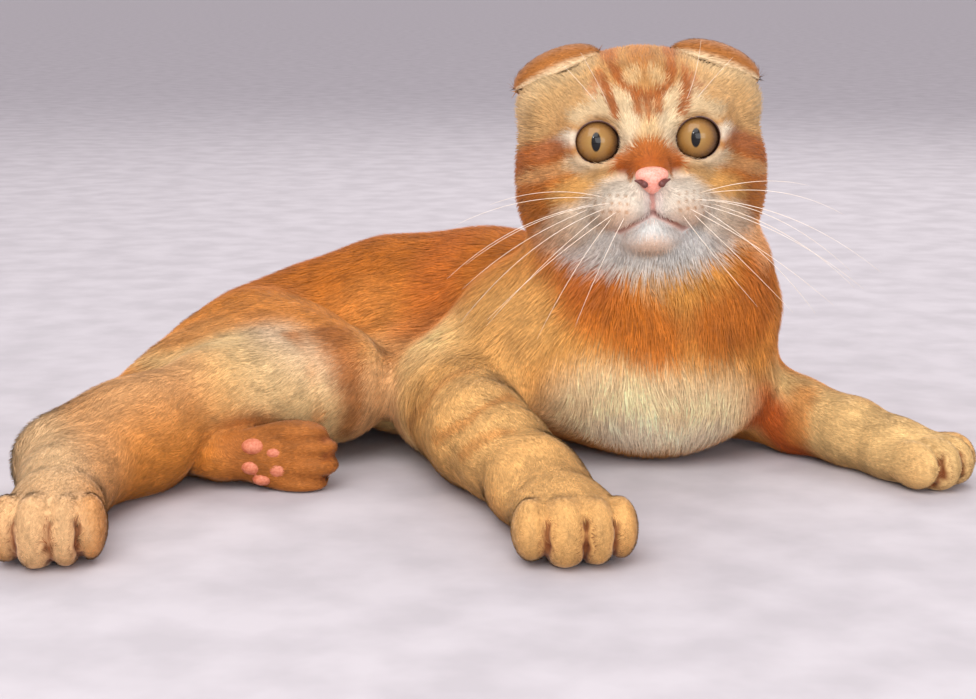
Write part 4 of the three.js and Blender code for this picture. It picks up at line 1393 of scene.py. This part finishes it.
def tuft_tints(base):
    """The root's tint at the foot's three corners, and a lighter, paler tip: painted light."""
    # Painted light: the tip is drawn brighter and paler than the root, which lies in the coat's shade
    tip = base * 1.08
    tip = tip + (TIP_PAINTED_LIGHT - tip) * 0.05
    return np.clip(np.stack([base, base, base, tip], 2).reshape(3, -1), 0.003, 0.97)


def tuft_normals(way, side, n, tip_n):
    """Faces that look out are shaded round and like the skin; the others look forwards."""
    sway = 0.16 * chance.normal(size=n.shape)
    round_ = [sway + n + side * ROUND * a for a in (1, 0, -1)] + [sway + tip_n]
    round_ = np.stack(round_, 2)
    round_ /= np.linalg.norm(round_, axis=0)
    under = np.repeat((0.6 * way - 0.8 * n)[:, :, None], 3, 2)
    looks = zip(TUFT_FACES, TUFT_LOOKS_OUT)
    return np.stack([round_[:, :, list(f)] if out else under for f, out in looks], 2).reshape(3, -1)


def grow_tufts(chosen):
    """Points, faces, tints, spots and normals of the tufts at the chosen roots."""
    p, n = roots[:, chosen], root_normal[:, chosen]
    depth, count = root_depth[chosen], len(chosen)
    way = across(at_chosen(lies, chosen), n)
    side = np.cross(n.T, way.T).T
    turn = WAVE * waves(p, 13, 7) + STRAY * chance.normal(size=count)
    way = way * np.cos(turn) + side * np.sin(turn)
    side = np.cross(n.T, way.T).T
    tall = TUFT_HEIGHT * depth * chance.uniform(0.35, 1.05, count)
    length = length_of(depth) * chance.uniform(0.8, 1.15, count)
    half = half_width(depth) * chance.uniform(0.75, 1.25, count)
    lock = lock_centres(p, LOCK_SIZE)
    pull = lock - p
    pull = pull - (pull * n).sum(0) * n
    pull = pull * np.minimum(1, depth / 4) * LOCK_PULL
    foot = p - n * TUFT_SINK
    tip, tip_n = over_skin(p + way * length + pull, tall, n, on_ear[chosen])
    points = [foot + side * half, foot + n * TUFT_RISE * half, foot - side * half, tip]
    points = np.stack(points, 2).reshape(3, -1)
    points[2] = np.maximum(points[2], 0.25)
    own = np.sin(lock[0] * 12.9 + lock[1] * 78.2 + lock[2] * 37.7) * 43758.5
    bright = 0.82 + 0.36 * (own - np.floor(own)) + 0.1 * chance.normal(size=count)
    tints_out = tuft_tints(root_tint[:, chosen] * np.clip(bright, 0.6, 1.4))
    fan = np.linspace(0, 2 * np.pi, 4, endpoint=False)
    fan = PATCH_RADIUS * np.stack([np.cos(fan), np.sin(fan)])
    spots = root_spots[:, chosen][:, :, None] + fan[:, None]
    normals = tuft_normals(way, side, n, tip_n)
    faces = (np.array(TUFT_FACES)[None] + 4 * np.arange(count)[:, None, None]).reshape(-1, 3)
    return points, faces, tints_out, spots.reshape(2, -1), normals


def at_chosen(values, chosen):
    return sum(values[:, corners[chosen, n]] * weights[n, chosen] for n in range(3))

# %% [markdown]
# ## Coat pieces
# The coat is divided by the parts of the body, and again where a piece would be too large
# to handle.

# %% Coat pieces
PIECE_LIMIT = 190000
coat_triangles = 0


def add_coat(part, chosen):
    """Coat pieces for the chosen roots, none over the limit of triangles."""
    global coat_triangles
    parts = int(np.ceil(len(chosen) * len(TUFT_FACES) / PIECE_LIMIT))
    for number, share in enumerate(np.array_split(chosen, parts)):
        shape = grow_tufts(share)
        piece = add_mesh(f"coat_{part}_short_{number + 1}", *shape)
        piece.data.materials.append(FUR)
        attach(piece, "root")
        coat_triangles += len(shape[1])


for number, (part, *_) in enumerate(PARTS):
    mine = (root_part == number) & ~on_ear
    add_coat(part, np.flatnonzero(mine))
add_coat("ears", np.flatnonzero(on_ear))
print("coat triangles:", coat_triangles)


# %% [markdown]
# ## Eyes
# A cat's iris fills the whole opening of the lids. The eyeball is a ball with a clear dome in
# front, wet and perfectly smooth, so one glossy coat over a painted iris gives the same
# look as a real cornea and keeps the colour clear. Each eye turns to the viewer. The mesh
# carries the place on the iris across and up, in millimetres, and the material draws the
# pupil, the fibres and the dark ring from it.

# %% Eyes
def eye_material():
    material, shader = new_material(
        "wet_cornea_over_amber_iris",
        {
            "Roughness": 0.25,
            "IOR": 1.376,
            "Specular IOR Level": 0.2,
            "Coat Weight": 0.8,
            "Coat Roughness": 0.015,
            "Coat IOR": 1.33,
        },
    )
    gaze = add_node(material, "ShaderNodeAttribute", {"attribute_name": "gaze"})
    parts = add_node(material, "ShaderNodeSeparateXYZ", Vector=gaze.outputs["Vector"])
    flat = add_node(material, "ShaderNodeCombineXYZ", X=parts.outputs["X"], Y=parts.outputs["Y"])
    radius = add_node(material, "ShaderNodeVectorMath", {"operation": "LENGTH"}, Vector=flat.outputs[0])
    turn = add_node(material, "ShaderNodeMath", {"operation": "ARCTAN2"})
    material.node_tree.links.new(parts.outputs["Y"], turn.inputs[0])
    material.node_tree.links.new(parts.outputs["X"], turn.inputs[1])
    ray = add_node(material, "ShaderNodeCombineXYZ", X=turn.outputs[0])
    slow = add_node(material, "ShaderNodeMath", {"operation": "MULTIPLY"})
    slow.inputs[1].default_value = 0.12
    material.node_tree.links.new(radius.outputs["Value"], slow.inputs[0])
    material.node_tree.links.new(slow.outputs[0], ray.inputs["Y"])
    fibres = add_node(
        material, "ShaderNodeTexNoise", {"Scale": 9.0, "Detail": 4.0}, Vector=ray.outputs[0]
    )
    stray = add_node(material, "ShaderNodeMath", {"operation": "MULTIPLY_ADD"})
    stray.inputs[1].default_value = 1.5
    material.node_tree.links.new(fibres.outputs["Fac"], stray.inputs[0])
    material.node_tree.links.new(radius.outputs["Value"], stray.inputs[2])
    share = add_node(
        material,
        "ShaderNodeMapRange",
        {"From Min": 0.6, "From Max": 9.6},
        Value=stray.outputs[0],
    )
    ramp = add_node(material, "ShaderNodeValToRGB", Fac=share.outputs["Result"])
    stops = [(0.0, "6a5028"), (0.3, "9c7740"), (0.6, "8f6734"), (0.8, "624222"), (0.93, "28180f")]
    elements = ramp.color_ramp.elements
    while len(elements) < len(stops):
        elements.new(0.5)
    for element, (place, hexes) in zip(elements, stops):
        element.position = place
        element.color = (*linear(hexes)[:, 0], 1)
    # The pupil is an upright oval: its measure is 1 on the oval's edge
    oval = add_node(material, "ShaderNodeVectorMath", {"operation": "DIVIDE"}, Vector=flat.outputs[0])
    oval.inputs[1].default_value = (1.7, 3.5, 1)
    size = add_node(material, "ShaderNodeVectorMath", {"operation": "LENGTH"}, Vector=oval.outputs[0])
    open_ = add_node(
        material,
        "ShaderNodeMapRange",
        {"From Min": 0.92, "From Max": 1.1},
        Value=size.outputs["Value"],
    )
    pupil = add_node(material, "ShaderNodeMix", {"data_type": "RGBA"}, Factor=open_.outputs["Result"])
    colour_in = [s for s in pupil.inputs if s.name in "AB" and s.type == "RGBA"]
    colour_in[0].default_value = (0.004, 0.003, 0.003, 1)
    material.node_tree.links.new(ramp.outputs["Color"], colour_in[1])
    colour_out = [s for s in pupil.outputs if s.type == "RGBA"][0]
    film = add_node(material, "ShaderNodeMix", {"data_type": "RGBA"}, Factor=parts.outputs["Z"])
    film_in = [s for s in film.inputs if s.name in "AB" and s.type == "RGBA"]
    material.node_tree.links.new(colour_out, film_in[0])
    film_in[1].default_value = (*linear("a08a93")[:, 0], 1)
    join(material, [s for s in film.outputs if s.type == "RGBA"][0], shader, "Base Color")
    return material

# %% [markdown]
# ## Eyeballs
# The ball is a grid of rings round the line of sight. The cornea rises half a millimetre
# over it in front, which is what catches the lamp.

# %% Eyeballs
EYE = eye_material()
CORNEA_RISE = 0.55


def eyeball(at, side):
    """A ball whose pole looks at the camera, with the cornea's low dome round the pole."""
    centre = from_head(at[:, None])[:, 0]
    look = unit(np.array(CAMERA_AT) - centre)
    across_eye = unit(np.cross(look, (0, 0, 1)))
    up = np.cross(across_eye, look)
    rings, sectors = 60, 72
    down = np.linspace(0.004, np.pi - 0.02, rings)
    round_ = np.linspace(0, 2 * np.pi, sectors, endpoint=False)
    down, round_ = [g.ravel() for g in np.meshgrid(down, round_, indexing="ij")]
    radius = EYE_RADIUS - 0.25 + CORNEA_RISE * np.exp(-((down / 0.72) ** 4))
    x, y = np.sin(down) * np.cos(round_), np.sin(down) * np.sin(round_)
    way = across_eye[:, None] * x + up[:, None] * y + look[:, None] * np.cos(down)
    points = centre[:, None] + radius * way
    number = np.arange(rings * sectors).reshape(rings, sectors)
    after = np.roll(number, -1, 1)
    faces = np.stack([number[:-1], number[1:], after[1:], after[:-1]], -1).reshape(-1, 4)
    piece = add_mesh("eyeball_left" if side > 0 else "eyeball_right", points, faces)
    q = to_head(points) - at[:, None]
    film = step_down(9.4 + q[0] * side + 0.036 * q[2] ** 2, 0.6, 1.6)
    gaze = np.stack([x * EYE_RADIUS, y * EYE_RADIUS, film])
    data = piece.data.attributes.new("gaze", "FLOAT_VECTOR", "POINT").data
    data.foreach_set("vector", gaze.T.astype(np.float32).ravel())
    piece.data.materials.append(EYE)
    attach(piece, "root")
    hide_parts("eye_left" if side > 0 else "eye_right")


for side, at in zip((-1, 1), EYES):
    eyeball(at, side)


# %% [markdown]
# ## Tubes: lid margins and whiskers
# A lid ends in a thin, bare, dark and moist edge. A whisker is a stiff pale hair that tapers
# to nothing. Both are round in section along a line, so one function sweeps a ring of points
# along any line, with a radius for each point of it.

# %% Tubes
def tube(line, radii, sides=6, closed=False):
    """Points and faces of a round bar along the line (rows x, y, z)."""
    count = line.shape[1]
    ahead = np.gradient(line, axis=1)
    if closed:
        ahead = np.roll(line, -1, 1) - np.roll(line, 1, 1)
    ahead /= np.linalg.norm(ahead, axis=0)
    first = unit(np.cross(ahead[:, 0], (0.3, 0.5, 0.8)))
    side = np.repeat(first[:, None], count, 1)
    side = across(side, ahead)
    up = np.cross(ahead.T, side.T).T
    turn = np.linspace(0, 2 * np.pi, sides, endpoint=False)
    ring = side[:, :, None] * np.cos(turn) + up[:, :, None] * np.sin(turn)
    points = (line[:, :, None] + ring * np.reshape(radii, (1, -1, 1))).reshape(3, -1)
    number = np.arange(count * sides).reshape(count, sides)
    if closed:
        number = np.concatenate([number, number[:1]])
    after = np.roll(number, -1, 1)
    faces = np.stack([number[:-1], after[:-1], after[1:], number[1:]], -1).reshape(-1, 4)
    if not closed:
        first_end, last_end = number[0], number[-1]
        fan = range(1, sides - 1)
        caps = [[first_end[0], first_end[n + 1], first_end[n]] for n in fan]
        caps += [[last_end[0], last_end[n], last_end[n + 1]] for n in fan]
        faces = np.concatenate([faces[:, [0, 1, 2]], faces[:, [0, 2, 3]], np.array(caps)])
    return points, faces


def merge(pieces):
    points, faces, count = [], [], 0
    for p, f in pieces:
        points.append(p)
        faces.append(f + count)
        count += p.shape[1]
    return np.concatenate(points, 1), np.concatenate(faces)

# %% [markdown]
# ## Bare surfaces and lid margins
# Bare skin, leather and keratin change a little in colour and height from place to place.
# One function makes such a surface from two colours and the size of its grain in
# millimetres. The moist lid margin has a thin clear coat, which draws a bright line along
# the eye.

# %% Bare skin, lid margins and keratin
def plain_material(name, base, settings, grain_mm, spread):
    """A bare surface whose colour changes a little with a grain of that size."""
    material, shader = new_material(name, settings)
    place = add_node(material, "ShaderNodeTexCoord")
    grain = add_node(
        material,
        "ShaderNodeTexNoise",
        {"Scale": 1 / (grain_mm * MM), "Detail": 3.0},
        Vector=place.outputs["Object"],
    )
    ramp = add_node(material, "ShaderNodeValToRGB", Fac=grain.outputs["Fac"])
    low, high = linear(base).T
    ramp.color_ramp.elements[0].position = 0.35
    ramp.color_ramp.elements[1].position = 0.65
    ramp.color_ramp.elements[0].color = (*low, 1)
    ramp.color_ramp.elements[1].color = (*high, 1)
    join(material, ramp.outputs["Color"], shader, "Base Color")
    bump = add_node(
        material,
        "ShaderNodeBump",
        {"Strength": spread, "Distance": 0.15 * MM},
        Height=grain.outputs["Fac"],
    )
    join(material, bump.outputs["Normal"], shader, "Normal")
    return material


MARGIN = plain_material(
    "moist_bare_lid_skin", "452a1f 5f3a29", {"Roughness": 0.3, "Coat Weight": 0.4}, 0.8, 0.2
)
KERATIN = plain_material(
    "pale_whisker_keratin", "f2dcc0 fbf1e4", {"Roughness": 0.35, "Specular IOR Level": 0.6}, 2.0, 0.05
)


def lid_margin(at, side):
    line = at[:, None] + lid_loop(side, 120, EYE_RADIUS + 0.42, 0.1)
    upper = np.clip(np.sin(np.linspace(0, 2 * np.pi, 120, endpoint=False)), -0.2, 1)
    return tube(from_head(line), 0.42 + 0.22 * upper, 8, closed=True)


points, faces = merge([lid_margin(at, side) for side, at in zip((-1, 1), EYES)])
margins = add_mesh("lid_margins", points, faces)
margins.data.materials.append(MARGIN)
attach(margins, "root")
print("lid margins:", points.shape[1], "points")


# %% [markdown]
# ## Whiskers
# Whiskers grow in rows from the pads of the upper lip, and a few from each brow. They start
# level and sink under their own weight. A real one is a third of a millimetre thick at its
# root, and these are drawn no thicker.

# %% Whiskers
WHISKERS = [
    # across, up, way across, way up, length, sink
    (18, -20.5, 0.95, 0.28, 46, 10),
    (21, -20.8, 0.98, 0.12, 58, 16),
    (15, -22.5, 0.97, -0.05, 60, 20),
    (22, -23.0, 0.97, -0.12, 66, 20),
    (18, -24.5, 0.92, -0.28, 64, 18),
    (24, -25.0, 0.9, -0.3, 60, 16),
    (14, -26.0, 0.84, -0.48, 58, 14),
    (20, -27.0, 0.8, -0.55, 54, 12),
    (16, -28.5, 0.66, -0.72, 48, 9),
    (11, -28.0, 0.52, -0.82, 40, 6),
]
BROWS = [(15, 14, 0.4, 0.9, 20, -2), (19, 14.5, 0.62, 0.76, 24, 2)]
WHISKER_RADIUS, BROW_RADIUS = 0.09, 0.05


def whisker(side, x, z, way_x, way_z, length, sink):
    root = on_face([side * x * 0.98], [z], 1.5)[:, 0]
    forward = -0.42 if z < 0 else -0.55
    way = unit((side * way_x, forward, way_z))
    s = np.linspace(0, 1, 18)
    line = root[:, None] + way[:, None] * length * s
    line[2] -= sink * s**2.2
    line[1] += 0.28 * length * s**2
    stray = chance.normal(size=2) * 2.5
    line[0] += stray[0] * s**2
    line[2] += stray[1] * s**2
    thick = WHISKER_RADIUS if z < 0 else BROW_RADIUS
    return tube(from_head(line), thick * (1 - s) ** 0.7 + 0.03, 5)


points, faces = merge([whisker(side, *w) for side in (-1, 1) for w in WHISKERS + BROWS])
whiskers = add_mesh("whiskers", points, faces)
whiskers.data.materials.append(KERATIN)
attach(whiskers, "root")
print("whiskers:", 2 * len(WHISKERS + BROWS))


# %% [markdown]
# ## Nose leather and pads
# The nose is bare pink skin with a fine pebbled grain and a little moisture, with two nostrils
# that curl outwards. It is drawn with surface nets as the body was, on a grid of its own.
# The sole of the left hind foot faces the viewer and shows its pads, in a drier leather.

# %% Nose and pads
NOSE = plain_material(
    "moist_pebbled_nose_leather",
    "ec8d79 f6ab98",
    {"Roughness": 0.38, "Coat Weight": 0.25, "Coat Roughness": 0.2, "Subsurface Weight": 0.1},
    0.7,
    0.5,
)
# The dark inside the nostrils is painted shade, on a surface set back in each hole
NOSTRIL_SHADE = plain_material(
    "dark_painted_nostril_shade", "5b2f2a 6e3b34", {"Roughness": 0.5}, 0.8, 0.2
)
PAD = plain_material(
    "soft_pink_pad_leather", "bd6646 d58464", {"Roughness": 0.55}, 0.9, 0.6
)


def nostril(s, back=0.0, thin=0.0):
    """A hole beside the middle that curls up and outwards."""
    return together(
        [
            limb((s * 3.2, -53.2 + back, -16.2), (s * 4.4, -48.0, -15.2), 1.15 - thin, 0.9),
            limb((s * 3.8, -52.0 + back, -15.7), (s * 6.4, -48.6, -14.6), 0.75 - thin, 0.4),
        ],
        0.6,
    )


nostrils = [nostril(s) for s in (-1, 1)]


def nose_leather(q):
    d = nose_form(q)
    for hole in nostrils:
        d = carve(d, hole(q), 0.5)
    groove = limb((0, -51.9, -14.5), (0, -50.4, -21), 0.35, 0.5)
    return carve(d, groove(q), 0.9)


NOSE_STEP = 0.4
NOSE_GRID = [np.arange(c - w, c + w, NOSE_STEP) for c, w in zip(NOSE_AT, (9.5, 6.5, 7))]
points, faces = surface_nets(nose_leather, NOSE_GRID)
nose = add_mesh("nose_leather", from_head(points), faces)
nose.data.materials.append(NOSE)
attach(nose, "root")
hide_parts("nose")
# A dark surface inside each nostril stands for the shade in the hole
nostril_shade_form = together([nostril(s, 2.4, -0.12) for s in (-1, 1)], 0.1)
points, faces = surface_nets(nostril_shade_form, NOSE_GRID)
shade_in_nostrils = add_mesh("nostril_painted_shade", from_head(points), faces)
shade_in_nostrils.data.materials.append(NOSTRIL_SHADE)
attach(shade_in_nostrils, "root")
print("nose leather and nostrils:", len(nostrils) + 1, "pieces of surface")

# %% [markdown]
# ## Pads
# Four toe pads and a larger one behind them show on the sole of the left hind foot. They
# are dry leather with a coarse grain, which breaks the light into a soft sheen.

# %% Pads
PADS = [
    # middle, half sizes
    ((-156.5, -48.9, 17.6), (4.8, 4.2, 3.2)),
    ((-148.5, -49.3, 15.6), (4.2, 4.2, 2.8)),
    ((-157.5, -48.9, 9.8), (4.2, 4.2, 3.2)),
    ((-153.5, -48.6, 4.9), (4.0, 4.2, 2.6)),
    ((-146.5, -49.1, 9.4), (6.0, 4.4, 4.6)),
]
pad_form = together([ellipsoid(at, radii) for at, radii in PADS], 1.2)
PAD_GRID = [np.arange(-164, -138, 0.7), np.arange(-57, -44, 0.7), np.arange(0.6, 24, 0.7)]
points, faces = surface_nets(pad_form, PAD_GRID)
pads = add_mesh("pads_hind_left", points, faces)
pads.data.materials.append(PAD)
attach(pads, "root")
print("pads:", len(PADS))


# %% [markdown]
# ## Floor and light
# A plain pale floor and four soft boxes: a large key in front and above, a weaker fill from
# the other side, one behind that rims the back and the ears, and a small one in front that
# only shows as the catchlight in the eyes. A pale world fills the shadows, as white walls
# would. The floor reaches so far that its edge melts into the world.

# %% Floor and light
FLOOR_HALF = 40000


def floor():
    x, y = FLOOR_HALF * np.array([[-1, 1, 1, -1], [-1, -1, 1, 1]])
    points = np.stack([x, y, 0 * x])
    piece = add_mesh("floor", points, np.array([[0, 1, 2, 3]]))
    piece.data.materials.append(
        plain_material("matt_pale_paper", "aea9ad bab5b9", {"Roughness": 0.9}, 30, 0.02)
    )


def soft_box(name, at, target, size, power, colour):
    data = bpy.data.lights.new(name, "AREA")
    data.shape = "RECTANGLE"
    data.size, data.size_y = size
    data.energy = power
    data.color = colour
    light = bpy.data.objects.new(name, data)
    light.location = at
    way = unit(np.subtract(at, target))
    side = unit(np.cross((0, 0, 1), way))
    turn = np.stack([side, np.cross(way, side), way], 1)
    light.rotation_euler = Matrix(turn.tolist()).to_euler()
    bpy.context.scene.collection.objects.link(light)


floor()
soft_box("key", (-0.4, -0.95, 1.35), (-0.02, 0, 0.08), (1.3, 1.3), 19, (1, 0.99, 0.97))
soft_box("fill", (0.35, -1.5, 0.45), (-0.05, 0, 0.06), (1.2, 0.6), 9, (1, 0.99, 0.98))
soft_box("rim", (0.3, 1.2, 1.3), (-0.05, 0, 0.08), (1.2, 0.6), 12, (1, 0.98, 0.95))
soft_box("catchlight", (-0.38, -1.2, 0.7), (-0.02, 0, 0.13), (0.09, 0.09), 1.2, (1, 1, 1))
world = bpy.data.worlds.new("studio")
bpy.context.scene.world = world
world.use_nodes = True
backdrop = world.node_tree.nodes["Background"]
backdrop.inputs["Color"].default_value = (*linear("ece6ec")[:, 0], 1)
backdrop.inputs["Strength"].default_value = 1.0
bpy.context.scene.view_settings.view_transform = "Standard"
